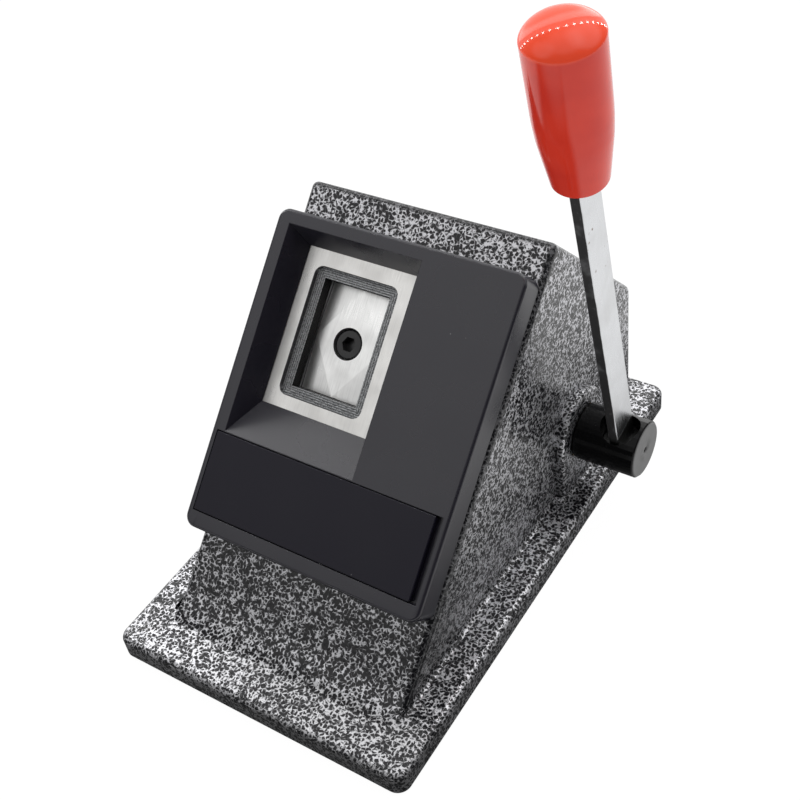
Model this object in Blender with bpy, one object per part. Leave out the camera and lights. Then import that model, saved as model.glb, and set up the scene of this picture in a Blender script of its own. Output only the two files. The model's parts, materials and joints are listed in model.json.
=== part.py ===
"""Passport photo cutter: a lever-operated desk punch with a sloping face.

Lengths are in metres and +Z is up. The origin lies under the middle of the base, on the surface that
the cutter stands on. +X points to the lever's side and -Y to the user.

Most pieces of the tool are laid out in the frame of the sloping front face: x runs across, s runs up
the face from the line where the face would meet the casting's underside, and h stands out from it.
"""

import math

import bmesh
import bpy
from mathutils import Matrix, Vector

# General allowances
SEAT_GAP = 0.0003
OVERRUN = 0.002
WELD = 0.0005

# Casting
PAD_STAND = 0.0015
BASE_WIDTH = 0.1464
BASE_DEPTH = 0.243
FLANGE_THICKNESS = 0.0108
BASE_CORNER_RADIUS = 0.006
FLANGE_EDGE_RADIUS = 0.0025
BODY_WIDTH = 0.1173
BODY_WALL = 0.006
BODY_EDGE_RADIUS = 0.0028
FACE_FOOT_Y = -0.1072
FACE_ANGLE = math.radians(43.63)
FACE_LENGTH = 0.2104
BACK_Y = 0.1123
FOOT_FILLET_RADIUS = 0.026
FOOT_FILLET_SINK = 0.0003
LEDGE_DEPTH = 0.016
LEDGE_MARGIN = 0.008
INNER_BOSS_RADIUS = 0.022
INNER_BOSS_HEIGHT = 0.001
ARCH_RADIUS = 0.0199
ARCH_HEIGHT = 0.0046
ARCH_EDGE_RADIUS = 0.0019
RECESS_RIM = 0.008
RECESS_DEPTH = 0.0035
RECESS_CORNER_RADIUS = 0.004

# Die set, centred on one line square to the face
TOOL_X = -0.0222
TOOL_S = 0.1476
PHOTO_WIDTH = 0.033
PHOTO_HEIGHT = 0.048
DIE_WIDTH = 0.066
DIE_LENGTH = 0.092
DIE_THICKNESS = 0.0073
DIE_EDGE = 0.0005
DIE_SCREW_X_SHARE = 5 / 11
DIE_SCREW_INSET_S = 0.0055
RELIEF_LEDGE = 0.0046
RELIEF_DEPTH = 0.0024
RELIEF_RADIUS = 0.004
SLOT_HEIGHT = 0.001
SLOT_WIDTH = 0.054
SLOT_FLARE = 0.0012
PUNCH_CLEARANCE = 0.0003
PUNCH_REST = 0.0002
PUNCH_HEIGHT = 0.020
PUNCH_SHEAR = 0.0012
GUIDE_NOSE_WIDTH = 0.048
GUIDE_NOSE_END_SHARE = 4 / 11
GUIDE_HEIGHT = 0.030
GUIDE_EDGE = 0.001
GUIDE_WALL_GAP = 0.0005
GUIDE_WALL = 0.0165
RAM_YOKE_LENGTH = 0.058
RAM_YOKE_EDGE = 0.003
RAM_YOKE_FLOOR = 0.009
RAM_SLOT_CLEARANCE = 0.0004
RAM_SLOT_END = 0.001

# Shaft, crank pin and lever
SHAFT_Y = 0.0535
SHAFT_HEIGHT = 0.0383
SHAFT_RADIUS = 0.012
SPIGOT_RADIUS = 0.008
SPIGOT_LENGTH = 0.0088
CRANK_THROW = 0.007
CRANK_PIN_RADIUS = 0.005
CRANK_PIN_SHORT = 0.002
LEVER_SWING = math.radians(75.0)
LEVER_LEAN = math.radians(10.8)
LEVER_CANT = math.radians(-0.3)
BUSH_CLEARANCE = 0.0001
BUSH_WALL = 0.003
BUSH_FLANGE = 0.002
BUSH_FLANGE_WIDTH = 0.0025
KEY_WIDTH = 0.004
KEY_HEIGHT = 0.004
KEY_LENGTH = 0.006
KEYWAY_SINK = 0.0018
HUB_RADIUS = 0.013
HUB_LENGTH = 0.0295
HUB_EDGE = 0.0009
HUB_BORE_FLOOR = 0.0003
CROSS_BORE_RADIUS = 0.0087
CROSS_BORE_FROM_END = 0.0107
CROSS_BORE_FLOOR = -0.0060
CENTRE_DRILL_RADIUS = 0.0018
CENTRE_DRILL_DEPTH = 0.0008
CENTRE_DRILL_TIP_RADIUS = 0.0006
LEVER_FOOT_TOP = 0.0015
LEVER_WIDTH = 0.0149
LEVER_THICKNESS = 0.0044
LEVER_EDGE = 0.0004
LEVER_TOP = 0.200
GRIP_BOTTOM = 0.158
GRIP_BOTTOM_RADIUS = 0.011
GRIP_TAPER_TOP = 0.175
GRIP_TAPER_RADIUS = 0.0129
GRIP_BELLY = 0.182
GRIP_BELLY_RADIUS = 0.0133
GRIP_RIM = 0.217
GRIP_RIM_RADIUS = 0.0131
GRIP_CROWN = 0.0053
GRIP_EDGE_RADIUS = 0.0013
GRIP_RIM_EDGE = 0.0007

# Side plate, collar, stop and spring
SIDE_PLATE_THICKNESS = 0.008
SIDE_PLATE_HALF = 0.028
SIDE_PLATE_EYE = 0.023
SIDE_PLATE_TOP_DROP = 0.003
SIDE_PLATE_SHOULDER = 0.006
SIDE_SCREW_SPREAD_SHARE = 0.65
SIDE_SCREW_HIGH_SHARE = 0.35
SIDE_SCREW_LOW_SHARE = 0.72
COLLAR_RADIUS = 0.019
COLLAR_WIDTH = 0.0086
COLLAR_GAP = 0.0012
STOP_PIN_RADIUS = 0.003
STOP_PIN_ORBIT = 0.025
STOP_PIN_OVERHANG = 0.001
SPRING_RADIUS = 0.0152
SPRING_WIRE_RADIUS = 0.001
SPRING_PITCH = 0.0023
SPRING_END_GAP = 0.0006
SPRING_BEND_RADIUS = 0.0022
SPRING_LEG_TAIL = 0.004
SPRING_HOLE_RADIUS = 0.0016
SPRING_HOLE_DEPTH = 0.004

# Front cover and label bar
COVER_LEFT_OVERHANG = 0.00205
COVER_RIGHT_INSET = 0.00105
COVER_LOW = 0.0536
COVER_HIGH = 0.1948
COVER_HEIGHT = 0.013
COVER_CORNER_RADIUS = 0.005
COVER_EDGE_RADIUS = 0.0014
COVER_WALL = 0.003
COVER_FRONT_WALL = 0.005
WELL_LEFT_REACH = 0.0319
WELL_RIGHT_REACH = 0.0338
WELL_LOW_REACH = 0.0506
WELL_HIGH_REACH = 0.0412
WELL_SIDE_SLANT = 0.0051
WELL_LOW_SLANT = 0.0163
WELL_HIGH_SLANT = 0.0058
WELL_WALL = 0.0028
BAR_LOW = 0.0612
BAR_HIGH = 0.0962
BAR_LEFT_MARGIN = 0.0032
BAR_RIGHT_MARGIN = 0.0060
BAR_THICKNESS = 0.003
BAR_PROUD = 0.0003
BAR_EDGE = 0.0004
BAR_SIDE_GAP = 0.0004
BAR_FINGER_GAP = 0.003
COVER_BOSS_RADIUS = 0.0045
COVER_BOSS_INSET_X = 0.0135
COVER_BOSS_INSET_S = 0.0160

# Underside
BOTTOM_COVER_THICKNESS = 0.002
BOTTOM_SCREW_INSET_X = 0.015
BOTTOM_SCREW_INSET_Y = 0.0165
BOTTOM_HOLE_ROOF = 0.0018
PAD_HOLE_CLEARANCE = 0.0008

# Screws: radius and height of the head, radius of the shank, width across the socket
M4_HEAD_RADIUS = 0.0038
M4_HEAD_HEIGHT = 0.002
M4_RADIUS = 0.002
M4_SOCKET = 0.0025
M5_HEAD_RADIUS = 0.00425
M5_HEAD_HEIGHT = 0.005
M5_SINK_RADIUS = 0.0047
M5_SINK_HEIGHT = 0.0028
M5_RADIUS = 0.0025
M5_SOCKET = 0.003
M5_CAP_SOCKET = 0.004
M6_HEAD_RADIUS = 0.005
M6_HEAD_HEIGHT = 0.006
M6_SINK_RADIUS = 0.0052
M6_SINK_HEIGHT = 0.003
M6_RADIUS = 0.003
M6_SOCKET = 0.005
M8_HEAD_RADIUS = 0.0065
M8_HEAD_HEIGHT = 0.008
M8_RADIUS = 0.004
M8_SOCKET = 0.006
M8_HEAD_SINK = 0.0009
SOCKET_DEPTH_SHARE = 0.5
HEAD_EDGE_SHARE = 0.1
SUNK_RIM_SHARE = 0.15
THREAD_CLEARANCE = 0.0003
COUNTERBORE_CLEARANCE = 0.0006
COVER_SCREW_REACH = 0.0068
DIE_SCREW_REACH = 0.010
SIDE_SCREW_REACH = 0.010
PUNCH_SCREW_REACH = 0.010
BOTTOM_SCREW_REACH = 0.0048
LEVER_SCREW_REACH = 0.0042
HOLE_END = 0.001

# Facets on a full circle
FINE = 40
MEDIUM = 28
COARSE = 12
CORNER_STEPS = 4

# Derived places in the frame of the face
BODY_HALF = BODY_WIDTH / 2
SHAFT_Z = PAD_STAND + SHAFT_HEIGHT
SHAFT_REACH_Y = SHAFT_Y - FACE_FOOT_Y
SHAFT_S = SHAFT_REACH_Y * math.cos(FACE_ANGLE) + SHAFT_HEIGHT * math.sin(FACE_ANGLE)
SHAFT_H = SHAFT_HEIGHT * math.cos(FACE_ANGLE) - SHAFT_REACH_Y * math.sin(FACE_ANGLE)
CRANK_REST = -LEVER_SWING / 2
STROKE = 2 * CRANK_THROW * math.sin(LEVER_SWING / 2)
POCKET_FLOOR = -DIE_THICKNESS - SEAT_GAP
SLOT_FLOOR = POCKET_FLOOR - SLOT_HEIGHT
PUNCH_FACE = SLOT_FLOOR - PUNCH_REST
PUNCH_BACK = PUNCH_FACE - PUNCH_HEIGHT
PUNCH_WIDTH = PHOTO_WIDTH - 2 * PUNCH_CLEARANCE
PUNCH_LENGTH = PHOTO_HEIGHT - 2 * PUNCH_CLEARANCE
GUIDE_NOSE_LENGTH = PHOTO_HEIGHT + (DIE_LENGTH - PHOTO_HEIGHT) * GUIDE_NOSE_END_SHARE
GUIDE_SEAT = -LEDGE_DEPTH - SEAT_GAP
GUIDE_BACK = GUIDE_SEAT - GUIDE_HEIGHT
GUIDE_LEFT = GUIDE_WALL_GAP + BODY_WALL - BODY_WIDTH / 2
GUIDE_RIGHT = TOOL_X + PHOTO_WIDTH / 2 + GUIDE_WALL
PIN_S = SHAFT_S + CRANK_THROW * math.cos(CRANK_REST)
PIN_H = SHAFT_H + CRANK_THROW * math.sin(CRANK_REST)
ARCH_FACE = BODY_HALF + ARCH_HEIGHT
HUB_START = ARCH_FACE + SEAT_GAP
HUB_END = HUB_START + HUB_LENGTH
LEVER_X = HUB_END - CROSS_BORE_FROM_END
SIDE_PLATE_LEFT = GUIDE_RIGHT + SEAT_GAP
SIDE_PLATE_RIGHT = SIDE_PLATE_LEFT + SIDE_PLATE_THICKNESS
BUSH_BORE = SHAFT_RADIUS + BUSH_CLEARANCE
BUSH_RADIUS = BUSH_BORE + BUSH_WALL
INNER_BUSH_END = SIDE_PLATE_RIGHT + SEAT_GAP + BUSH_FLANGE
WALL_INNER_X = BODY_HALF - BODY_WALL
BUSH_SEAT_X = WALL_INNER_X - INNER_BOSS_HEIGHT
OUTER_BUSH_START = BUSH_SEAT_X - SEAT_GAP - BUSH_FLANGE
COLLAR_RIGHT = OUTER_BUSH_START - COLLAR_GAP
COLLAR_LEFT = COLLAR_RIGHT - COLLAR_WIDTH
COLLAR_MIDDLE = (COLLAR_LEFT + COLLAR_RIGHT) / 2
SPRING_START = INNER_BUSH_END + SPRING_END_GAP + SPRING_WIRE_RADIUS
SPRING_ROOM = COLLAR_LEFT - SPRING_END_GAP - SPRING_WIRE_RADIUS - SPRING_START
SPRING_TURNS = int(SPRING_ROOM / SPRING_PITCH)
FACE_TO_NORMAL = FACE_ANGLE + math.pi / 2
STOP_OFFSET = M5_HEAD_RADIUS + STOP_PIN_RADIUS + SEAT_GAP
STOP_ANGLE = math.asin(STOP_OFFSET / STOP_PIN_ORBIT)
COVER_LEFT = -BODY_HALF - COVER_LEFT_OVERHANG
COVER_RIGHT = BODY_HALF - COVER_RIGHT_INSET
WELL_LEFT = TOOL_X - WELL_LEFT_REACH
WELL_RIGHT = TOOL_X + WELL_RIGHT_REACH
WELL_LOW = TOOL_S - WELL_LOW_REACH
WELL_HIGH = TOOL_S + WELL_HIGH_REACH
CHANNEL_FLOOR = COVER_HEIGHT + BAR_PROUD - BAR_THICKNESS - SEAT_GAP
COVER_ROOF = COVER_HEIGHT - COVER_FRONT_WALL
BAR_LEFT = COVER_LEFT + BAR_LEFT_MARGIN
BAR_RIGHT = COVER_RIGHT - BAR_RIGHT_MARGIN

ALONG_X = Matrix(((0, 0, 1, 0), (1, 0, 0, 0), (0, 1, 0, 0), (0, 0, 0, 1)))


def clear_scene():
    """Remove every object, so that the model starts from nothing."""
    for existing in list(bpy.data.objects):
        bpy.data.objects.remove(existing, do_unlink=True)


def material(name, colour, roughness, metallic=0.0):
    """A Principled material with one colour."""
    made = bpy.data.materials.new(name)
    made.use_nodes = True
    shader = made.node_tree.nodes["Principled BSDF"]
    shader.inputs["Base Color"].default_value = (*colour, 1.0)
    shader.inputs["Roughness"].default_value = roughness
    shader.inputs["Metallic"].default_value = metallic
    return made


def empty(name, place, turn_x, turn_y=0):
    """A frame that pieces are parented to, turned about X and then about Y."""
    frame = bpy.data.objects.new(name, None)
    frame.location = place
    frame.rotation_euler = (turn_x, turn_y, 0)
    bpy.context.collection.objects.link(frame)
    return frame


def piece(name, shape, finish=None, parent=None):
    """Turn a bmesh into a named object with its normals facing out."""
    bmesh.ops.recalc_face_normals(shape, faces=shape.faces)
    mesh = bpy.data.meshes.new(name)
    shape.to_mesh(mesh)
    shape.free()
    made = bpy.data.objects.new(name, mesh)
    bpy.context.collection.objects.link(made)
    made.parent = parent
    if finish is not None:
        mesh.materials.append(finish)
    return made


def tool(name, shape, parent=None):
    """A shape that only cuts or joins others."""
    made = piece(name, shape, None, parent)
    made.hide_render = True
    made.display_type = "WIRE"
    return made


def combine(target, other, operation="DIFFERENCE"):
    """Cut a shape from the target, or join it on."""
    step = target.modifiers.new(other.name, "BOOLEAN")
    step.operation = operation
    step.object = other


def round_over(shape, edges, radius, steps=2):
    """Bevel chosen edges with a round profile."""
    bmesh.ops.bevel(shape, geom=list(edges), offset=radius, offset_type="OFFSET", segments=steps,
                    profile=0.5, affect="EDGES", clamp_overlap=True)


def smooth(target, angle=math.radians(35)):
    """Shade round surfaces smooth and keep the real edges sharp."""
    target.data.shade_smooth()
    target.data.set_sharp_from_angle(angle=angle)


def extrude(outline, low, high, turn=None):
    """A closed prism over an outline of (u, v) points, from low to high along the third axis."""
    shape = bmesh.new()
    floor = [shape.verts.new((u, v, low)) for u, v in outline]
    roof = [shape.verts.new((u, v, high)) for u, v in outline]
    shape.faces.new(list(reversed(floor)))
    shape.faces.new(roof)
    for here in range(len(outline)):
        there = (here + 1) % len(outline)
        shape.faces.new((floor[here], floor[there], roof[there], roof[here]))
    if turn is not None:
        shape.transform(turn)
    return shape


def box(x_low, x_high, y_low, y_high, z_low, z_high):
    """A plain block between two corners."""
    corners = ((x_low, y_low), (x_high, y_low), (x_high, y_high), (x_low, y_high))
    return extrude(corners, z_low, z_high)


def circle(centre_u, centre_v, radius, steps, start=0.0):
    """Points on a circle, the first at the start angle."""
    points = []
    for step in range(steps):
        angle = start + 2 * math.pi * step / steps
        points.append((centre_u + radius * math.cos(angle), centre_v + radius * math.sin(angle)))
    return points


def rounded_rectangle(x_low, x_high, y_low, y_high, radius, steps=CORNER_STEPS):
    """The outline of a rectangle with round corners."""
    centres = (
        (x_high - radius, y_high - radius, 0.0),
        (x_low + radius, y_high - radius, math.pi / 2),
        (x_low + radius, y_low + radius, math.pi),
        (x_high - radius, y_low + radius, 3 * math.pi / 2),
    )
    points = []
    for centre_x, centre_y, start in centres:
        for step in range(steps + 1):
            angle = start + math.pi / 2 * step / steps
            points.append((centre_x + radius * math.cos(angle), centre_y + radius * math.sin(angle)))
    return points


def turned(profile, steps, turn=None):
    """A solid of revolution about the third axis from (radius, height) points, low to high."""
    shape = bmesh.new()
    rings = []
    for radius, height in profile:
        rings.append([shape.verts.new((u, v, height)) for u, v in circle(0, 0, radius, steps)])
    shape.faces.new(list(reversed(rings[0])))
    shape.faces.new(rings[-1])
    for lower, upper in zip(rings, rings[1:]):
        for here in range(steps):
            there = (here + 1) % steps
            shape.faces.new((lower[here], lower[there], upper[there], upper[here]))
    if turn is not None:
        shape.transform(turn)
    return shape


def frustum(low_outline, low, high_outline, high):
    """A solid between two four-point outlines at two heights."""
    shape = bmesh.new()
    floor = [shape.verts.new((u, v, low)) for u, v in low_outline]
    roof = [shape.verts.new((u, v, high)) for u, v in high_outline]
    shape.faces.new(list(reversed(floor)))
    shape.faces.new(roof)
    for here in range(len(floor)):
        there = (here + 1) % len(floor)
        shape.faces.new((floor[here], floor[there], roof[there], roof[here]))
    return shape


def rectangle(x_low, x_high, y_low, y_high):
    """The four corners of a rectangle."""
    return ((x_low, y_low), (x_high, y_low), (x_high, y_high), (x_low, y_high))


def hexagon(across, low, high):
    """A hexagonal prism, for a socket."""
    return extrude(circle(0, 0, across / math.sqrt(3), 6), low, high)


def capped_screw(name, head_radius, head_height, radius, reach, socket, finish, parent, steps=COARSE):
    """A socket-head screw whose seat is at its origin, with the head along its own +Z."""
    edge = head_radius * HEAD_EDGE_SHARE
    profile = ((radius, -reach), (radius, 0), (head_radius, 0), (head_radius, head_height - edge),
               (head_radius - edge, head_height))
    made = piece(name, turned(profile, steps), finish, parent)
    depth = head_height * SOCKET_DEPTH_SHARE
    recess = tool(name + "_socket", hexagon(socket, head_height - depth, head_height + OVERRUN), made)
    combine(made, recess)
    smooth(made)
    return made


def sunk_screw(name, head_radius, head_height, radius, reach, socket, finish, parent, steps=COARSE):
    """A countersunk screw whose flat head is at its origin, with the shank along its own -Z."""
    rim = head_height * SUNK_RIM_SHARE
    profile = ((radius, -head_height - reach), (radius, -head_height), (head_radius, -rim), (head_radius, 0))
    made = piece(name, turned(profile, steps), finish, parent)
    depth = head_height * SOCKET_DEPTH_SHARE
    recess = tool(name + "_socket", hexagon(socket, -depth, OVERRUN), made)
    combine(made, recess)
    smooth(made)
    return made


def face_point(s, h):
    """World (y, z) of a point in the frame of the face."""
    y = FACE_FOOT_Y + s * math.cos(FACE_ANGLE) - h * math.sin(FACE_ANGLE)
    z = PAD_STAND + s * math.sin(FACE_ANGLE) + h * math.cos(FACE_ANGLE)
    return y, z


def body_outline(wall, foot):
    """Side outline of the wedge, drawn in by a wall; foot is the height where it starts."""
    roof_s = FACE_LENGTH - wall
    ridge = face_point(roof_s, -wall)
    back = BACK_Y - wall
    roof_run = (back - ridge[0]) / math.sin(FACE_ANGLE)
    shoulder = (back, ridge[1] - roof_run * math.cos(FACE_ANGLE))
    return ridge, shoulder, (back, foot)


def wedge_outline():
    """Outer outline of the wedge with the concave fillet that runs out onto the flange."""
    top = PAD_STAND + FLANGE_THICKNESS - FOOT_FILLET_SINK
    rise = top - PAD_STAND
    meet_y = FACE_FOOT_Y + rise / math.tan(FACE_ANGLE)
    tangent = FOOT_FILLET_RADIUS * math.tan(FACE_ANGLE / 2)
    centre_y = meet_y - tangent
    centre_z = top + FOOT_FILLET_RADIUS
    ridge, shoulder, back_foot = body_outline(0, PAD_STAND + FLANGE_THICKNESS / 2)
    points = [back_foot, shoulder, ridge]
    steps = 2 * CORNER_STEPS
    for step in range(steps + 1):
        angle = FACE_ANGLE * (1 - step / steps)
        points.append((centre_y + FOOT_FILLET_RADIUS * math.sin(angle),
                       centre_z - FOOT_FILLET_RADIUS * math.cos(angle)))
    points.append((centre_y, PAD_STAND + FLANGE_THICKNESS / 2))
    return points


def wedge():
    """The body of the casting above the flange, with its outer edges rounded."""
    shape = extrude(wedge_outline(), -BODY_HALF, BODY_HALF, ALONG_X)
    flange_top = PAD_STAND + FLANGE_THICKNESS
    chosen = []
    for edge in shape.edges:
        first, second = (vert.co for vert in edge.verts)
        level = min(first.z, second.z) > flange_top - FLANGE_THICKNESS / 2 + WELD
        across = abs(first.x - second.x) > BODY_HALF
        upper = min(first.z, second.z) > SHAFT_Z
        if (across and upper) or (not across and (level or abs(first.y - second.y) < WELD)):
            chosen.append(edge)
    round_over(shape, chosen, BODY_EDGE_RADIUS)
    return shape


def flange():
    """The base slab with round corners and a soft upper edge."""
    half_x = BASE_WIDTH / 2
    half_y = BASE_DEPTH / 2
    top = PAD_STAND + FLANGE_THICKNESS
    shape = extrude(rounded_rectangle(-half_x, half_x, -half_y, half_y, BASE_CORNER_RADIUS), PAD_STAND, top)
    rim = [edge for edge in shape.edges if all(abs(vert.co.z - top) < WELD for vert in edge.verts)]
    round_over(shape, rim, FLANGE_EDGE_RADIUS)
    return shape


def arch():
    """The raised pad round the shaft, an arch with straight legs down to the flange."""
    foot = PAD_STAND + FLANGE_THICKNESS / 2
    points = []
    steps = FINE // 2
    for step in range(steps + 1):
        angle = math.pi * step / steps
        points.append((SHAFT_Y + ARCH_RADIUS * math.cos(angle), SHAFT_Z + ARCH_RADIUS * math.sin(angle)))
    points.append((SHAFT_Y - ARCH_RADIUS, foot))
    points.append((SHAFT_Y + ARCH_RADIUS, foot))
    shape = extrude(points, WALL_INNER_X + BODY_WALL / 2, ARCH_FACE, ALONG_X)
    rim = [edge for edge in shape.edges
           if all(abs(vert.co.x - ARCH_FACE) < WELD and vert.co.z > foot - WELD for vert in edge.verts)
           and max(vert.co.z for vert in edge.verts) > foot + WELD]
    round_over(shape, rim, ARCH_EDGE_RADIUS)
    return shape


def cavity():
    """The hollow inside the casting, open below."""
    low = PAD_STAND - OVERRUN
    ridge, shoulder, back_foot = body_outline(BODY_WALL, low)
    front_y = FACE_FOOT_Y + BODY_WALL / math.sin(FACE_ANGLE)
    below = OVERRUN / math.tan(FACE_ANGLE)
    outline = (back_foot, shoulder, ridge, (front_y - below, low))
    return extrude(outline, -WALL_INNER_X, WALL_INNER_X, ALONG_X)


def screw_places():
    """Where the die screws sit in the frame of the face."""
    inset_x = PHOTO_WIDTH / 2 + (DIE_WIDTH - PHOTO_WIDTH) / 2 * DIE_SCREW_X_SHARE
    inset_s = DIE_LENGTH / 2 - DIE_SCREW_INSET_S
    return [(TOOL_X + side * inset_x, TOOL_S + end * inset_s) for end in (-1, 1) for side in (-1, 1)]


def cover_screw_places():
    """Three corners of the cover and the middle of its right side, clear of the die set."""
    left = COVER_LEFT + COVER_BOSS_INSET_X
    right = COVER_RIGHT - COVER_BOSS_INSET_X
    low = COVER_LOW + COVER_BOSS_INSET_S
    high = COVER_HIGH - COVER_BOSS_INSET_S
    return [(left, low), (right, low), (right, (low + high) / 2), (right, high)]


def bottom_screw_places():
    """Four places in the solid rim of the base."""
    x = BASE_WIDTH / 2 - BOTTOM_SCREW_INSET_X
    y = BASE_DEPTH / 2 - BOTTOM_SCREW_INSET_Y
    return [(side * x, end * y) for end in (-1, 1) for side in (-1, 1)]


def recess_outline(gap):
    """Plan of the shallow recess in the underside, drawn in by a gap."""
    half_x = BASE_WIDTH / 2 - RECESS_RIM - gap
    half_y = BASE_DEPTH / 2 - RECESS_RIM - gap
    return rounded_rectangle(-half_x, half_x, -half_y, half_y, RECESS_CORNER_RADIUS)


def slot_mouth():
    """The chamfer round the photo slot in the casting's left side."""
    low = TOOL_S - SLOT_WIDTH / 2
    high = TOOL_S + SLOT_WIDTH / 2
    roof = POCKET_FLOOR + SEAT_GAP
    grow = SLOT_FLARE + OVERRUN
    shape = frustum(rectangle(low - grow, high + grow, SLOT_FLOOR - grow, roof + grow), -BODY_HALF - OVERRUN,
                    rectangle(low, high, SLOT_FLOOR, roof), -BODY_HALF + SLOT_FLARE)
    shape.transform(ALONG_X)
    return shape


def make_housing(finish, face):
    """The casting, from its outer mass inwards."""
    made = piece("housing", wedge(), finish)
    combine(made, tool("housing_flange", flange()), "UNION")
    combine(made, tool("housing_arch", arch()), "UNION")
    combine(made, tool("housing_cavity", cavity()))
    ledge_right = TOOL_X + DIE_WIDTH / 2 + LEDGE_MARGIN
    ledge_low = TOOL_S - DIE_LENGTH / 2 - LEDGE_MARGIN
    ledge_high = TOOL_S + DIE_LENGTH / 2 + LEDGE_MARGIN
    ledge = box(-WALL_INNER_X - BODY_WALL / 2, ledge_right, ledge_low, ledge_high, -LEDGE_DEPTH, -BODY_WALL / 2)
    combine(made, tool("housing_ledge", ledge, face), "UNION")
    boss = extrude(circle(SHAFT_Y, SHAFT_Z, INNER_BOSS_RADIUS, MEDIUM), BUSH_SEAT_X, BODY_HALF - WELD, ALONG_X)
    combine(made, tool("housing_inner_boss", boss), "UNION")

    half_width = DIE_WIDTH / 2 + SEAT_GAP
    half_length = DIE_LENGTH / 2 + SEAT_GAP
    pocket = box(TOOL_X - half_width, TOOL_X + half_width, TOOL_S - half_length, TOOL_S + half_length,
                 POCKET_FLOOR, OVERRUN)
    combine(made, tool("housing_die_pocket", pocket, face))
    nose_x = GUIDE_NOSE_WIDTH / 2 + SEAT_GAP
    nose_s = GUIDE_NOSE_LENGTH / 2 + SEAT_GAP
    opening = box(TOOL_X - nose_x, TOOL_X + nose_x, TOOL_S - nose_s, TOOL_S + nose_s,
                  GUIDE_SEAT - OVERRUN - SEAT_GAP, POCKET_FLOOR + SLOT_HEIGHT)
    combine(made, tool("housing_tool_opening", opening, face))
    slot = box(-BODY_HALF - OVERRUN, TOOL_X, TOOL_S - SLOT_WIDTH / 2, TOOL_S + SLOT_WIDTH / 2,
               SLOT_FLOOR, POCKET_FLOOR + SEAT_GAP)
    combine(made, tool("housing_photo_slot", slot, face))
    combine(made, tool("housing_slot_mouth", slot_mouth(), face))
    for number, (x, s) in enumerate(screw_places(), 1):
        hole = extrude(circle(x, s, M5_RADIUS + THREAD_CLEARANCE, COARSE),
                       GUIDE_SEAT - DIE_SCREW_REACH - HOLE_END, 0)
        combine(made, tool(f"housing_die_hole_{number}", hole, face))
    for number, (x, s) in enumerate(cover_screw_places(), 1):
        hole = extrude(circle(x, s, M4_RADIUS + THREAD_CLEARANCE, COARSE), -BODY_WALL - OVERRUN, OVERRUN)
        combine(made, tool(f"housing_cover_hole_{number}", hole, face))
    bore = extrude(circle(SHAFT_Y, SHAFT_Z, BUSH_RADIUS + SEAT_GAP, FINE), BUSH_SEAT_X - OVERRUN,
                   ARCH_FACE + OVERRUN, ALONG_X)
    combine(made, tool("housing_bush_bore", bore))
    recess = extrude(recess_outline(0), PAD_STAND - OVERRUN, PAD_STAND + RECESS_DEPTH)
    combine(made, tool("housing_recess", recess))
    hole_top = PAD_STAND + FLANGE_THICKNESS - BOTTOM_HOLE_ROOF
    for number, (x, y) in enumerate(bottom_screw_places(), 1):
        hole = extrude(circle(x, y, M4_RADIUS + THREAD_CLEARANCE, COARSE), PAD_STAND, hole_top)
        combine(made, tool(f"housing_bottom_hole_{number}", hole))
    smooth(made)
    return made


def make_underside(steel, rubber, dark):
    """The bottom cover, its screws and the rubber pad."""
    cover_low = PAD_STAND + RECESS_DEPTH - SEAT_GAP - BOTTOM_COVER_THICKNESS
    cover = piece("bottom_cover", extrude(recess_outline(SEAT_GAP), cover_low,
                                          cover_low + BOTTOM_COVER_THICKNESS), steel)
    pad_top = cover_low - SEAT_GAP
    pad = piece("base_pad", extrude(recess_outline(SEAT_GAP), 0, pad_top), rubber)
    for number, (x, y) in enumerate(bottom_screw_places(), 1):
        hole = extrude(circle(x, y, M4_RADIUS + THREAD_CLEARANCE, COARSE), -OVERRUN,
                       cover_low + BOTTOM_COVER_THICKNESS + OVERRUN)
        combine(cover, tool(f"bottom_cover_hole_{number}", hole))
        way = extrude(circle(x, y, M4_HEAD_RADIUS + PAD_HOLE_CLEARANCE, COARSE), -OVERRUN, pad_top + OVERRUN)
        combine(pad, tool(f"base_pad_hole_{number}", way))
        screw = capped_screw(f"bottom_screw_{number}", M4_HEAD_RADIUS, M4_HEAD_HEIGHT, M4_RADIUS,
                             BOTTOM_COVER_THICKNESS + BOTTOM_SCREW_REACH, M4_SOCKET, dark, None)
        screw.rotation_euler = (math.pi, 0, 0)
        screw.location = (x, y, cover_low - SEAT_GAP)


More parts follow.
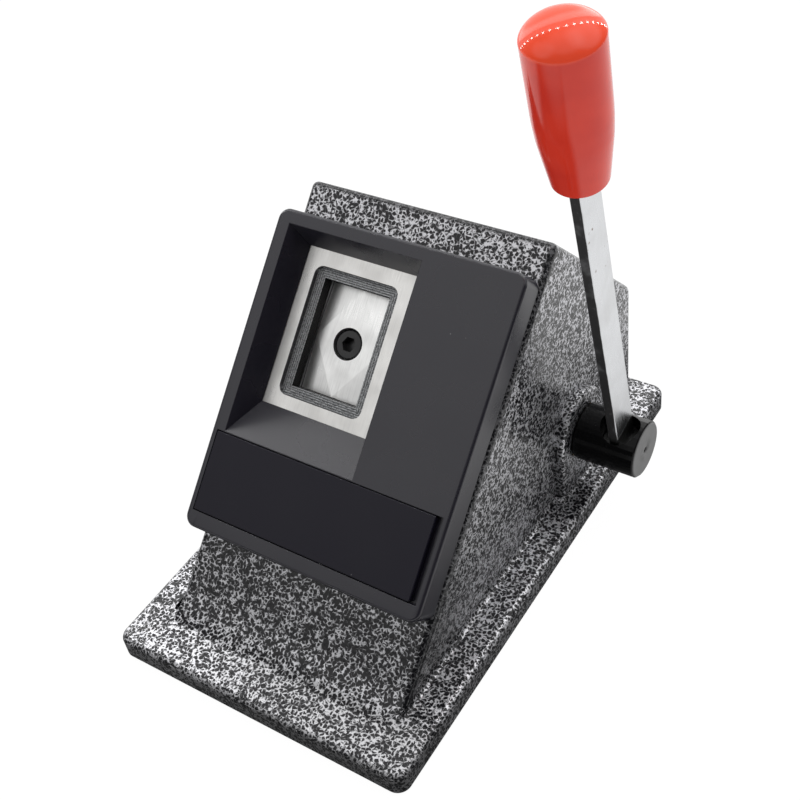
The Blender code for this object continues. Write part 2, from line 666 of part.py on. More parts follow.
def make_die(steel, dark, face):
    """The female die with its relief pocket and cut-out, and its four screws."""
    half_width = DIE_WIDTH / 2
    half_length = DIE_LENGTH / 2
    block = box(TOOL_X - half_width, TOOL_X + half_width, TOOL_S - half_length, TOOL_S + half_length,
                -DIE_THICKNESS, 0)
    round_over(block, block.edges, DIE_EDGE, 1)
    made = piece("die_plate", block, steel, face)
    pocket_x = PHOTO_WIDTH / 2 + RELIEF_LEDGE
    pocket_s = PHOTO_HEIGHT / 2 + RELIEF_LEDGE
    pocket = extrude(rounded_rectangle(TOOL_X - pocket_x, TOOL_X + pocket_x, TOOL_S - pocket_s,
                                       TOOL_S + pocket_s, RELIEF_RADIUS), -RELIEF_DEPTH, OVERRUN)
    combine(made, tool("die_relief", pocket, face))
    cut = box(TOOL_X - PHOTO_WIDTH / 2, TOOL_X + PHOTO_WIDTH / 2, TOOL_S - PHOTO_HEIGHT / 2,
              TOOL_S + PHOTO_HEIGHT / 2, -DIE_THICKNESS - OVERRUN, OVERRUN)
    combine(made, tool("die_cut_out", cut, face))
    reach = LEDGE_DEPTH - M5_SINK_HEIGHT + DIE_SCREW_REACH
    for number, (x, s) in enumerate(screw_places(), 1):
        sink_radius = M5_SINK_RADIUS + SEAT_GAP
        hole_radius = M5_RADIUS + THREAD_CLEARANCE
        profile = ((hole_radius, -DIE_THICKNESS - OVERRUN), (hole_radius, -M5_SINK_HEIGHT - SEAT_GAP),
                   (sink_radius, -SEAT_GAP), (sink_radius, OVERRUN))
        shape = turned(profile, COARSE, Matrix.Translation((x, s, 0)))
        combine(made, tool(f"die_screw_hole_{number}", shape, face))
        screw = sunk_screw(f"die_screw_{number}", M5_SINK_RADIUS, M5_SINK_HEIGHT, M5_RADIUS, reach,
                           M5_SOCKET, dark, face)
        screw.location = (x, s, 0)
    smooth(made)


def side_screw_places():
    """Where the side plate is screwed to the guide block: two high and one low."""
    spread = SIDE_PLATE_HALF * SIDE_SCREW_SPREAD_SHARE
    high = GUIDE_SEAT - GUIDE_HEIGHT * SIDE_SCREW_HIGH_SHARE
    low = GUIDE_SEAT - GUIDE_HEIGHT * SIDE_SCREW_LOW_SHARE
    return [(TOOL_S - spread, high), (TOOL_S + spread, high), (TOOL_S, low)]


def across_face(s, h):
    """Places a piece turned about the third axis so that it points along +X in the face's frame."""
    return Matrix.Translation((0, s, h)) @ ALONG_X


def make_guide(steel, face):
    """The block with the rectangular bore, and its nose that reaches up to the photo slot."""
    half_length = DIE_LENGTH / 2
    block = box(GUIDE_LEFT, GUIDE_RIGHT, TOOL_S - half_length, TOOL_S + half_length, GUIDE_BACK, GUIDE_SEAT)
    round_over(block, block.edges, GUIDE_EDGE, 1)
    made = piece("guide_block", block, steel, face)
    nose = box(TOOL_X - GUIDE_NOSE_WIDTH / 2, TOOL_X + GUIDE_NOSE_WIDTH / 2, TOOL_S - GUIDE_NOSE_LENGTH / 2,
               TOOL_S + GUIDE_NOSE_LENGTH / 2, GUIDE_SEAT - OVERRUN, SLOT_FLOOR)
    combine(made, tool("guide_nose", nose, face), "UNION")
    bore = box(TOOL_X - PHOTO_WIDTH / 2, TOOL_X + PHOTO_WIDTH / 2, TOOL_S - PHOTO_HEIGHT / 2,
               TOOL_S + PHOTO_HEIGHT / 2, GUIDE_BACK - OVERRUN, SLOT_FLOOR + OVERRUN)
    combine(made, tool("guide_bore", bore, face))
    for number, (x, s) in enumerate(screw_places(), 1):
        hole = extrude(circle(x, s, M5_RADIUS + THREAD_CLEARANCE, COARSE),
                       GUIDE_SEAT - DIE_SCREW_REACH - HOLE_END, GUIDE_SEAT + OVERRUN)
        combine(made, tool(f"guide_die_hole_{number}", hole, face))
    for number, (s, h) in enumerate(side_screw_places(), 1):
        hole = extrude(circle(0, 0, M6_RADIUS + THREAD_CLEARANCE, COARSE),
                       GUIDE_RIGHT - SIDE_SCREW_REACH - HOLE_END, GUIDE_RIGHT + OVERRUN,
                       across_face(s, h))
        combine(made, tool(f"guide_side_hole_{number}", hole, face))
    return made


def make_punch(steel, dark, slide):
    """The punch with four shear-ground corners, and the screw in its middle."""
    half_x = PUNCH_WIDTH / 2
    half_s = PUNCH_LENGTH / 2
    shape = bmesh.new()
    floor = [shape.verts.new((u, v, 0)) for u, v in rectangle(-half_x, half_x, -half_s, half_s)]
    corner_height = PUNCH_HEIGHT - PUNCH_SHEAR
    corners = [shape.verts.new((u, v, corner_height)) for u, v in rectangle(-half_x, half_x, -half_s, half_s)]
    middles = [shape.verts.new(place) for place in (
        (0, -half_s, PUNCH_HEIGHT), (half_x, 0, PUNCH_HEIGHT), (0, half_s, PUNCH_HEIGHT), (-half_x, 0, PUNCH_HEIGHT))]
    shape.faces.new(list(reversed(floor)))
    shape.faces.new(middles)
    for here in range(4):
        there = (here + 1) % 4
        shape.faces.new((middles[here - 1], corners[here], middles[here]))
        shape.faces.new((floor[here], floor[there], corners[there], middles[here], corners[here]))
    made = piece("punch", shape, steel, slide)
    made.location = (TOOL_X, TOOL_S, PUNCH_BACK)
    seat = PUNCH_HEIGHT - M8_HEAD_SINK - M8_HEAD_HEIGHT - SEAT_GAP
    bore = turned(((M8_RADIUS + THREAD_CLEARANCE, -OVERRUN), (M8_RADIUS + THREAD_CLEARANCE, seat),
                   (M8_HEAD_RADIUS + COUNTERBORE_CLEARANCE, seat),
                   (M8_HEAD_RADIUS + COUNTERBORE_CLEARANCE, PUNCH_HEIGHT + OVERRUN)), MEDIUM)
    combine(made, tool("punch_counterbore", bore, made))
    screw = capped_screw("punch_screw", M8_HEAD_RADIUS, M8_HEAD_HEIGHT, M8_RADIUS,
                         seat + 2 * SEAT_GAP + PUNCH_SCREW_REACH, M8_SOCKET, dark, slide, MEDIUM)
    screw.location = (TOOL_X, TOOL_S, PUNCH_BACK + seat + SEAT_GAP)


def make_ram(steel, slide):
    """The slide behind the punch, with shoulders and the cross slot for the crank pin."""
    top = PUNCH_BACK - SEAT_GAP
    shoulder = GUIDE_BACK - STROKE - SEAT_GAP
    bottom = PIN_H - CRANK_PIN_RADIUS - RAM_SLOT_CLEARANCE - RAM_YOKE_FLOOR
    half_x = PUNCH_WIDTH / 2
    half_s = PUNCH_LENGTH / 2
    yoke_s = RAM_YOKE_LENGTH / 2
    shape = box(TOOL_X - half_x, TOOL_X + half_x, TOOL_S - half_s, TOOL_S + half_s, shoulder - WELD, top)
    made = piece("ram", shape, steel, slide)
    yoke = box(TOOL_X - half_x, TOOL_X + half_x, TOOL_S - yoke_s, TOOL_S + yoke_s, bottom, shoulder)
    low_edges = [edge for edge in yoke.edges
                 if abs(edge.verts[0].co.x - edge.verts[1].co.x) > half_x and edge.verts[0].co.z < PIN_H]
    round_over(yoke, low_edges, RAM_YOKE_EDGE, 2)
    combine(made, tool("ram_yoke", yoke, slide), "UNION")
    slot_radius = CRANK_PIN_RADIUS + RAM_SLOT_CLEARANCE
    slot_low = PIN_S - slot_radius - RAM_SLOT_END
    slot_high = SHAFT_S + CRANK_THROW + slot_radius + RAM_SLOT_END
    slot_outline = rounded_rectangle(slot_low, slot_high, PIN_H - slot_radius, PIN_H + slot_radius,
                                     slot_radius - SEAT_GAP, 2 * CORNER_STEPS)
    slot = extrude(slot_outline, TOOL_X - half_x - OVERRUN, TOOL_X + half_x + OVERRUN, ALONG_X)
    combine(made, tool("ram_slot", slot, slide))
    hole = extrude(circle(TOOL_X, TOOL_S, M8_RADIUS + THREAD_CLEARANCE, MEDIUM),
                   top - PUNCH_SCREW_REACH - HOLE_END, top + OVERRUN)
    combine(made, tool("ram_screw_hole", hole, slide))
    smooth(made)


def side_plate_outline():
    """Outline of the bearing plate in (s, h): square above, tapered to a round eye at the shaft."""
    high = GUIDE_SEAT - SIDE_PLATE_TOP_DROP
    neck = GUIDE_BACK - SIDE_PLATE_SHOULDER
    points = [(TOOL_S + SIDE_PLATE_HALF, neck), (TOOL_S + SIDE_PLATE_HALF, high),
              (TOOL_S - SIDE_PLATE_HALF, high), (TOOL_S - SIDE_PLATE_HALF, neck)]
    steps = MEDIUM // 2
    for step in range(steps + 1):
        angle = math.pi + math.pi * step / steps
        points.append((SHAFT_S + SIDE_PLATE_EYE * math.cos(angle), SHAFT_H + SIDE_PLATE_EYE * math.sin(angle)))
    return points


def make_side_plate(steel, dark, face):
    """The bearing plate with its screws and the stop pin."""
    made = piece("side_plate", extrude(side_plate_outline(), SIDE_PLATE_LEFT, SIDE_PLATE_RIGHT, ALONG_X),
                 steel, face)
    eye = extrude(circle(0, 0, BUSH_RADIUS + SEAT_GAP, FINE), SIDE_PLATE_LEFT - OVERRUN,
                  SIDE_PLATE_RIGHT + OVERRUN, across_face(SHAFT_S, SHAFT_H))
    combine(made, tool("side_plate_eye", eye, face))
    for number, (s, h) in enumerate(side_screw_places(), 1):
        hole = extrude(circle(0, 0, M6_RADIUS + THREAD_CLEARANCE, COARSE), SIDE_PLATE_LEFT - OVERRUN,
                       SIDE_PLATE_RIGHT + OVERRUN, across_face(s, h))
        combine(made, tool(f"side_plate_hole_{number}", hole, face))
        screw = capped_screw(f"side_plate_screw_{number}", M6_HEAD_RADIUS, M6_HEAD_HEIGHT, M6_RADIUS,
                             SIDE_PLATE_THICKNESS + SIDE_SCREW_REACH, M6_SOCKET, dark, face)
        screw.rotation_euler = (0, math.pi / 2, 0)
        screw.location = (SIDE_PLATE_RIGHT + SEAT_GAP, s, h)
    pin_hole = extrude(circle(0, 0, STOP_PIN_RADIUS + SEAT_GAP, COARSE), SIDE_PLATE_LEFT - OVERRUN,
                       SIDE_PLATE_RIGHT + OVERRUN, across_face(SHAFT_S, SHAFT_H + STOP_PIN_ORBIT))
    combine(made, tool("side_plate_pin_hole", pin_hole, face))
    pin = piece("stop_pin", extrude(circle(0, 0, STOP_PIN_RADIUS, COARSE), SIDE_PLATE_LEFT,
                                    COLLAR_RIGHT + STOP_PIN_OVERHANG,
                                    across_face(SHAFT_S, SHAFT_H + STOP_PIN_ORBIT)), dark, face)
    smooth(made)
    smooth(pin)


def make_bush(name, start, end, flange_end, bronze, shaft):
    """A plain bush with its flange towards the inside of the casting."""
    profile = [(BUSH_RADIUS, start), (BUSH_RADIUS, end)]
    made = piece(name, turned(profile, FINE, ALONG_X), bronze, shaft)
    flange_radius = BUSH_RADIUS + BUSH_FLANGE_WIDTH
    if flange_end > end:
        rim = ((flange_radius, flange_end - BUSH_FLANGE), (flange_radius, flange_end))
        reach = flange_end
    else:
        rim = ((flange_radius, flange_end), (flange_radius, flange_end + BUSH_FLANGE))
        reach = end
    combine(made, tool(name + "_flange", turned(rim, FINE, ALONG_X), shaft), "UNION")
    bore = extrude(circle(0, 0, BUSH_BORE, FINE), min(start, flange_end) - OVERRUN, reach + OVERRUN, ALONG_X)
    combine(made, tool(name + "_bore", bore, shaft))
    smooth(made)


def spring_path():
    """Points of the torsion spring about the shaft: standing leg, coil, and the leg into the collar."""
    gap = STOP_PIN_RADIUS + SPRING_WIRE_RADIUS + SEAT_GAP
    spread = math.acos((SPRING_RADIUS + gap) / STOP_PIN_ORBIT)
    begin = FACE_TO_NORMAL + spread
    reach = STOP_PIN_ORBIT * math.sin(spread) + SPRING_LEG_TAIL
    x = SPRING_START
    points = []
    leg_steps = 6
    for step in range(leg_steps):
        out = reach * (1 - step / leg_steps)
        points.append(Vector((x, SPRING_RADIUS * math.cos(begin) + out * math.sin(begin),
                              SPRING_RADIUS * math.sin(begin) - out * math.cos(begin))))
    per_turn = 20
    for step in range(SPRING_TURNS * per_turn + 1):
        angle = begin + 2 * math.pi * step / per_turn
        points.append(Vector((x + SPRING_PITCH * step / per_turn, SPRING_RADIUS * math.cos(angle),
                              SPRING_RADIUS * math.sin(angle))))
    last = points[-1]
    bend_steps = 4
    for step in range(1, bend_steps + 1):
        angle = math.pi / 2 * step / bend_steps
        ahead = SPRING_BEND_RADIUS * math.sin(angle)
        aside = SPRING_BEND_RADIUS * (1 - math.cos(angle))
        points.append(Vector((last.x + aside, last.y - ahead * math.sin(begin), last.z + ahead * math.cos(begin))))
    end = points[-1].copy()
    end.x = COLLAR_LEFT + SPRING_HOLE_DEPTH - HOLE_END
    points.append(end)
    return points


def swept(path, radius, steps):
    """A round tube with flat ends along a path, its rings carried on without twist."""
    shape = bmesh.new()
    ahead = (path[1] - path[0]).normalized()
    side = ahead.orthogonal().normalized()
    rings = []
    for here, place in enumerate(path):
        before = path[max(here - 1, 0)]
        after = path[min(here + 1, len(path) - 1)]
        turned_ahead = (after - before).normalized()
        side = (ahead.rotation_difference(turned_ahead) @ side).normalized()
        ahead = turned_ahead
        across = ahead.cross(side)
        rings.append([shape.verts.new(place + side * u + across * v) for u, v in circle(0, 0, radius, steps)])
    shape.faces.new(list(reversed(rings[0])))
    shape.faces.new(rings[-1])
    for lower, upper in zip(rings, rings[1:]):
        for here in range(steps):
            there = (here + 1) % steps
            shape.faces.new((lower[here], lower[there], upper[there], upper[here]))
    return shape


def make_spring(steel, shaft):
    """The torsion spring as one unbroken wire."""
    made = piece("return_spring", swept(spring_path(), SPRING_WIRE_RADIUS, 6), steel, shaft)
    smooth(made)


def make_shaft(steel, shaft, crank):
    """The shaft: journal, spigot with a keyway, and the overhung crank pin."""
    web = TOOL_X + PUNCH_WIDTH / 2 + SEAT_GAP
    spigot_end = HUB_START + SPIGOT_LENGTH
    profile = ((SHAFT_RADIUS, web), (SHAFT_RADIUS, ARCH_FACE - SEAT_GAP), (SPIGOT_RADIUS, ARCH_FACE - SEAT_GAP),
               (SPIGOT_RADIUS, spigot_end))
    made = piece("drive_shaft", turned(profile, FINE, ALONG_X), steel, shaft)
    pin_end = TOOL_X - PUNCH_WIDTH / 2 + CRANK_PIN_SHORT
    throw = Matrix.Translation((0, CRANK_THROW, 0))
    pin = extrude(circle(0, 0, CRANK_PIN_RADIUS, MEDIUM), pin_end, web + WELD, throw @ ALONG_X)
    combine(made, tool("drive_shaft_pin", pin, crank), "UNION")
    key_start = HUB_START + (SPIGOT_LENGTH - KEY_LENGTH) / 2
    combine(made, tool("drive_shaft_keyway", key_block(key_start, SEAT_GAP), shaft))
    smooth(made)


def key_block(start, gap):
    """The block of the key across the joint of spigot and hub, grown by a gap."""
    half = KEY_WIDTH / 2 + gap
    low = SPIGOT_RADIUS - KEYWAY_SINK - gap
    return box(start - gap, start + KEY_LENGTH + gap, -half, half, low, low + KEY_HEIGHT + 2 * gap)


def make_collar(steel, dark, shaft):
    """The collar with the hole for the spring's leg, and the cap screw that is also the stop."""
    made = piece("shaft_collar", extrude(circle(0, 0, COLLAR_RADIUS, FINE), COLLAR_LEFT, COLLAR_RIGHT, ALONG_X),
                 steel, shaft)
    bore = extrude(circle(0, 0, BUSH_BORE, FINE), COLLAR_LEFT - OVERRUN, COLLAR_RIGHT + OVERRUN, ALONG_X)
    combine(made, tool("collar_bore", bore, shaft))
    end = spring_path()[-1]
    leg_hole = extrude(circle(end.y, end.z, SPRING_HOLE_RADIUS, COARSE), COLLAR_LEFT - OVERRUN,
                       COLLAR_LEFT + SPRING_HOLE_DEPTH, ALONG_X)
    combine(made, tool("collar_leg_hole", leg_hole, shaft))
    rest = FACE_TO_NORMAL + STOP_ANGLE - math.pi / 2
    swing = Matrix.Rotation(rest, 4, "X")
    drill = Matrix.Translation((COLLAR_MIDDLE, 0, 0))
    hole = extrude(circle(0, 0, M5_RADIUS + THREAD_CLEARANCE, COARSE), SHAFT_RADIUS, COLLAR_RADIUS + OVERRUN,
                   swing @ drill)
    combine(made, tool("collar_screw_hole", hole, shaft))
    flat = BUSH_BORE + SEAT_GAP
    screw = capped_screw("collar_screw", M5_HEAD_RADIUS, M5_HEAD_HEIGHT, M5_RADIUS, COLLAR_RADIUS - flat,
                         M5_CAP_SOCKET, dark, shaft)
    screw.matrix_local = swing @ Matrix.Translation((COLLAR_MIDDLE, 0, COLLAR_RADIUS + SEAT_GAP))
    smooth(made)


def make_hub(black, dark, steel, shaft, lever):
    """The hub with its cross bore, the key, and the screw that pulls the lever's foot down."""
    profile = ((HUB_RADIUS - HUB_EDGE, HUB_START), (HUB_RADIUS, HUB_START + HUB_EDGE),
               (HUB_RADIUS, HUB_END - HUB_EDGE), (HUB_RADIUS - HUB_EDGE, HUB_END))
    made = piece("hub", turned(profile, FINE, ALONG_X), black, shaft)
    bore = extrude(circle(0, 0, SPIGOT_RADIUS + SEAT_GAP, FINE), HUB_START - OVERRUN,
                   HUB_START + SPIGOT_LENGTH + HUB_BORE_FLOOR, ALONG_X)
    combine(made, tool("hub_bore", bore, shaft))
    key_start = HUB_START + (SPIGOT_LENGTH - KEY_LENGTH) / 2
    combine(made, tool("hub_keyway", key_block(key_start, SEAT_GAP), shaft))
    piece("hub_key", key_block(key_start, 0), steel, shaft)
    centre = turned(((CENTRE_DRILL_TIP_RADIUS, HUB_END - CENTRE_DRILL_DEPTH), (CENTRE_DRILL_RADIUS, HUB_END),
                     (CENTRE_DRILL_RADIUS, HUB_END + OVERRUN)), COARSE, ALONG_X)
    combine(made, tool("hub_centre_drill", centre, shaft))
    cross = extrude(circle(LEVER_X, 0, CROSS_BORE_RADIUS, FINE), CROSS_BORE_FLOOR, HUB_RADIUS + OVERRUN)
    combine(made, tool("hub_cross_bore", cross, lever))
    sink_radius = M6_SINK_RADIUS + SEAT_GAP
    sink_floor = math.sqrt(HUB_RADIUS ** 2 - sink_radius ** 2)
    hole_radius = M6_RADIUS + THREAD_CLEARANCE
    sink = ((sink_radius, -HUB_RADIUS - OVERRUN), (sink_radius, -sink_floor + SEAT_GAP),
            (hole_radius, -sink_floor + M6_SINK_HEIGHT + SEAT_GAP), (hole_radius, CROSS_BORE_FLOOR + OVERRUN))
    combine(made, tool("hub_screw_hole", turned(sink, COARSE, Matrix.Translation((LEVER_X, 0, 0))), lever))
    reach = sink_floor - M6_SINK_HEIGHT + CROSS_BORE_FLOOR + SEAT_GAP + LEVER_SCREW_REACH
    screw = sunk_screw("lever_screw", M6_SINK_RADIUS, M6_SINK_HEIGHT, M6_RADIUS, reach, M5_SOCKET, dark, lever)
    screw.rotation_euler = (math.pi, 0, 0)
    screw.location = (LEVER_X, 0, -sink_floor)
    smooth(made)


def make_lever(steel, red, lever):
    """The flat bar with its round foot, and the grip."""
    foot = extrude(circle(LEVER_X, 0, CROSS_BORE_RADIUS - SEAT_GAP, FINE), CROSS_BORE_FLOOR + SEAT_GAP,
                   LEVER_FOOT_TOP)
    made = piece("lever", foot, steel, lever)
    bar = box(LEVER_X - LEVER_THICKNESS / 2, LEVER_X + LEVER_THICKNESS / 2, -LEVER_WIDTH / 2, LEVER_WIDTH / 2,
              0, LEVER_TOP)
    long_edges = [edge for edge in bar.edges if abs(edge.verts[0].co.z - edge.verts[1].co.z) > LEVER_WIDTH]
    round_over(bar, long_edges, LEVER_EDGE, 1)
    combine(made, tool("lever_bar", bar, lever), "UNION")
    hole = extrude(circle(LEVER_X, 0, M6_RADIUS + THREAD_CLEARANCE, COARSE), CROSS_BORE_FLOOR - OVERRUN,
                   CROSS_BORE_FLOOR + SEAT_GAP + LEVER_SCREW_REACH + HOLE_END)
    combine(made, tool("lever_foot_hole", hole, lever))
    smooth(made)

    grip = piece("grip", turned(grip_profile(), MEDIUM, Matrix.Translation((LEVER_X, 0, 0))), red, lever)
    half_t = LEVER_THICKNESS / 2 + SEAT_GAP
    half_w = LEVER_WIDTH / 2 + SEAT_GAP
    socket = box(LEVER_X - half_t, LEVER_X + half_t, -half_w, half_w, GRIP_BOTTOM - OVERRUN,
                 LEVER_TOP + SEAT_GAP)
    combine(grip, tool("grip_socket", socket, lever))
    smooth(grip)


def grip_profile():
    """Half outline of the grip: rounded foot, taper, slight belly, sharp rim and crowned top."""
    points = []
    steps = 3
    for step in range(steps + 1):
        angle = math.pi / 2 * step / steps
        points.append((GRIP_BOTTOM_RADIUS - GRIP_EDGE_RADIUS * (1 - math.sin(angle)),
                       GRIP_BOTTOM + GRIP_EDGE_RADIUS * (1 - math.cos(angle))))
    points.append((GRIP_TAPER_RADIUS, GRIP_TAPER_TOP))
    points.append((GRIP_BELLY_RADIUS, GRIP_BELLY))
    points.append((GRIP_RIM_RADIUS, GRIP_RIM - GRIP_RIM_EDGE))
    points.append((GRIP_RIM_RADIUS - GRIP_RIM_EDGE, GRIP_RIM))
    crown_steps = 5
    for step in range(1, crown_steps):
        share = step / crown_steps
        radius = (GRIP_RIM_RADIUS - GRIP_RIM_EDGE) * (1 - share)
        points.append((radius, GRIP_RIM + GRIP_CROWN * (1 - (1 - share) ** 2)))
    return points


def well_outline(height, grow):
    """Plan of the slanted window well at a height above the face, grown by its wall."""
    depth_share = 1 - height / COVER_HEIGHT
    return rectangle(WELL_LEFT + WELL_SIDE_SLANT * depth_share - grow,
                     WELL_RIGHT - WELL_SIDE_SLANT * depth_share + grow,
                     WELL_LOW + WELL_LOW_SLANT * depth_share - grow,
                     WELL_HIGH - WELL_HIGH_SLANT * depth_share + grow)


def make_cover(black, dark, face):
    """The moulded cover: a shell with the slanted well, four screw bosses and the bar's channel."""
    outline = rounded_rectangle(COVER_LEFT, COVER_RIGHT, COVER_LOW, COVER_HIGH, COVER_CORNER_RADIUS, 5)
    shape = extrude(outline, SEAT_GAP, COVER_HEIGHT)
    rim = [edge for edge in shape.edges if all(abs(vert.co.z - COVER_HEIGHT) < WELD for vert in edge.verts)]
    round_over(shape, rim, COVER_EDGE_RADIUS)
    made = piece("front_cover", shape, black, face)

    inner_radius = COVER_CORNER_RADIUS - COVER_WALL
    hollow = tool("cover_hollow", extrude(rounded_rectangle(
        COVER_LEFT + COVER_WALL, COVER_RIGHT - COVER_WALL, COVER_LOW + COVER_WALL, COVER_HIGH - COVER_WALL,
        inner_radius), SEAT_GAP - OVERRUN, COVER_ROOF), face)
    well_shell = frustum(well_outline(-2 * OVERRUN, WELL_WALL), -2 * OVERRUN,
                         well_outline(COVER_HEIGHT, WELL_WALL), COVER_HEIGHT)
    combine(hollow, tool("cover_well_shell", well_shell, face))
    for number, (x, s) in enumerate(cover_screw_places(), 1):
        boss = extrude(circle(x, s, COVER_BOSS_RADIUS, COARSE), -2 * OVERRUN, COVER_HEIGHT)
        combine(hollow, tool(f"cover_boss_{number}", boss, face))
    combine(made, hollow)
    well = frustum(well_outline(-OVERRUN, 0), -OVERRUN,
                   well_outline(COVER_HEIGHT + OVERRUN, 0), COVER_HEIGHT + OVERRUN)
    combine(made, tool("cover_well", well, face))
    channel = box(BAR_LEFT - BAR_SIDE_GAP, BAR_RIGHT + BAR_FINGER_GAP, BAR_LOW - BAR_SIDE_GAP,
                  BAR_HIGH + BAR_SIDE_GAP, CHANNEL_FLOOR, COVER_HEIGHT + OVERRUN)
    combine(made, tool("cover_channel", channel, face))
    for number, (x, s) in enumerate(cover_screw_places(), 1):
        hole = extrude(circle(x, s, M4_RADIUS + THREAD_CLEARANCE, COARSE), -OVERRUN, COVER_SCREW_REACH + HOLE_END)
        combine(made, tool(f"cover_screw_hole_{number}", hole, face))
        screw = capped_screw(f"cover_screw_{number}", M4_HEAD_RADIUS, M4_HEAD_HEIGHT, M4_RADIUS,
                             BODY_WALL + SEAT_GAP + COVER_SCREW_REACH, M4_SOCKET, dark, face)
        screw.rotation_euler = (math.pi, 0, 0)
        screw.location = (x, s, -BODY_WALL - SEAT_GAP)
    smooth(made)

    bar = box(BAR_LEFT, BAR_RIGHT, BAR_LOW, BAR_HIGH, CHANNEL_FLOOR + SEAT_GAP, COVER_HEIGHT + BAR_PROUD)
    top = [edge for edge in bar.edges if all(vert.co.z > COVER_HEIGHT for vert in edge.verts)]
    round_over(bar, top, BAR_EDGE, 1)
    piece("label_bar", bar, black, face)


def main():
    """Build the whole cutter."""
    clear_scene()
    hammertone = material("hammertone_enamel", (0.10, 0.10, 0.11), 0.35)
    black = material("black_plastic", (0.035, 0.035, 0.04), 0.35)
    oxide = material("black_oxide", (0.02, 0.02, 0.022), 0.25, 0.6)
    ground = material("ground_steel", (0.62, 0.60, 0.58), 0.3, 1.0)
    machined = material("machined_steel", (0.45, 0.45, 0.46), 0.4, 1.0)
    bronze = material("bearing_bronze", (0.55, 0.35, 0.15), 0.4, 1.0)
    sheet = material("zinc_sheet", (0.5, 0.5, 0.52), 0.45, 1.0)
    rubber = material("black_rubber", (0.02, 0.02, 0.02), 0.8)
    red = material("red_plastic", (0.60, 0.03, 0.02), 0.25)

    face = empty("face_frame", (0, FACE_FOOT_Y, PAD_STAND), FACE_ANGLE)
    slide = empty("ram_axis", (0, FACE_FOOT_Y, PAD_STAND), FACE_ANGLE)
    shaft = empty("shaft_axis", (0, SHAFT_Y, SHAFT_Z), 0)
    crank = empty("crank_axis", (0, SHAFT_Y, SHAFT_Z), FACE_ANGLE + CRANK_REST)
    lever = empty("lever_axis", (0, SHAFT_Y, SHAFT_Z), LEVER_LEAN, LEVER_CANT)

    make_housing(hammertone, face)
    make_underside(sheet, rubber, oxide)
    make_cover(black, oxide, face)
    make_die(ground, oxide, face)
    make_guide(machined, face)
    make_punch(ground, oxide, slide)
    make_ram(machined, slide)
    make_side_plate(machined, oxide, face)
    make_bush("inner_bush", SIDE_PLATE_LEFT, SIDE_PLATE_RIGHT + WELD, INNER_BUSH_END, bronze, shaft)
    make_bush("outer_bush", BUSH_SEAT_X - WELD, ARCH_FACE - SEAT_GAP, OUTER_BUSH_START, bronze, shaft)
    make_shaft(machined, shaft, crank)
    make_collar(machined, oxide, shaft)
    make_spring(machined, shaft)
    make_hub(oxide, oxide, machined, shaft, lever)
    make_lever(ground, red, lever)
    bpy.context.view_layer.update()


main()
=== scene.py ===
"""Dresses the passport photo cutter: casting, moulded cover, die set, lever, return spring and studio.

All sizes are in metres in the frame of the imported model: the origin lies under the middle of the base
on the table, +Z is up, +X is the lever's side and -Y is the user's. Pieces on the sloping front are laid
out in the frame of that face, where x runs across, y runs up the face and z stands out from it.
"""

import json
import logging
import math
from collections.abc import Callable, Iterable, Sequence
from dataclasses import dataclass
from enum import Enum

import bmesh
import bpy
from mathutils import Matrix, Vector

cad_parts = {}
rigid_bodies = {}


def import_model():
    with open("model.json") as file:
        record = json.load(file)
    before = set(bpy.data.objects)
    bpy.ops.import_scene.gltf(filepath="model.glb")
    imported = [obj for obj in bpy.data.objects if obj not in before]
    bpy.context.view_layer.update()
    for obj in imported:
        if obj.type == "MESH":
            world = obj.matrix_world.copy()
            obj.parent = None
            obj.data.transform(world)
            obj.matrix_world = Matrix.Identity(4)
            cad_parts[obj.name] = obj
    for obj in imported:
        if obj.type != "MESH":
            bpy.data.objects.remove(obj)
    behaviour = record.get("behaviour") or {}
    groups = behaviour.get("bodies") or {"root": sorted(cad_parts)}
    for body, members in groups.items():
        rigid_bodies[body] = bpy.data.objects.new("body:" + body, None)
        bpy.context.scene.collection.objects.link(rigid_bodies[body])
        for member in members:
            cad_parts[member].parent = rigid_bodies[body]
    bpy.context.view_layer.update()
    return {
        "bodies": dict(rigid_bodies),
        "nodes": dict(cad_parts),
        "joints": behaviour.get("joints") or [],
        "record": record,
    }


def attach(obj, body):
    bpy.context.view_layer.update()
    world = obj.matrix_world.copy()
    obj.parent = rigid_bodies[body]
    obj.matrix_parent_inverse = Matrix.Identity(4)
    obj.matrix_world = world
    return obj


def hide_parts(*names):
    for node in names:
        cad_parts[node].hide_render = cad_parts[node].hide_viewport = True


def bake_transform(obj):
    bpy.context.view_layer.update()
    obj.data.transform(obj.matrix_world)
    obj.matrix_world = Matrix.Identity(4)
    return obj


LOG = logging.getLogger("photo_cutter")

Shape = bmesh.types.BMesh
Corner = bmesh.types.BMVert
Socket = bpy.types.NodeSocket
Material = bpy.types.Material
Number = "Value | float"
Span = tuple[float, float]
Point = tuple[float, float, float]
Bounds = tuple[float, float, float, float]
Colour = tuple[float, float, float, float]
Test = Callable[[Vector, Vector], bool]

# Tolerances in metres, from the distance that welds two corners to the length past which an edge is a run.
WELD = 1e-7
TOUCH = 1e-6
ON_PLANE = 1e-5
RUN = 1e-3

# Cosines of faces that look along an axis and of faces that look down.
SQUARE = 0.999
DOWNWARD = -0.9

EVERYWHERE: Bounds = (-math.inf, math.inf, -math.inf, math.inf)
FLAT_AREA = 0.0004

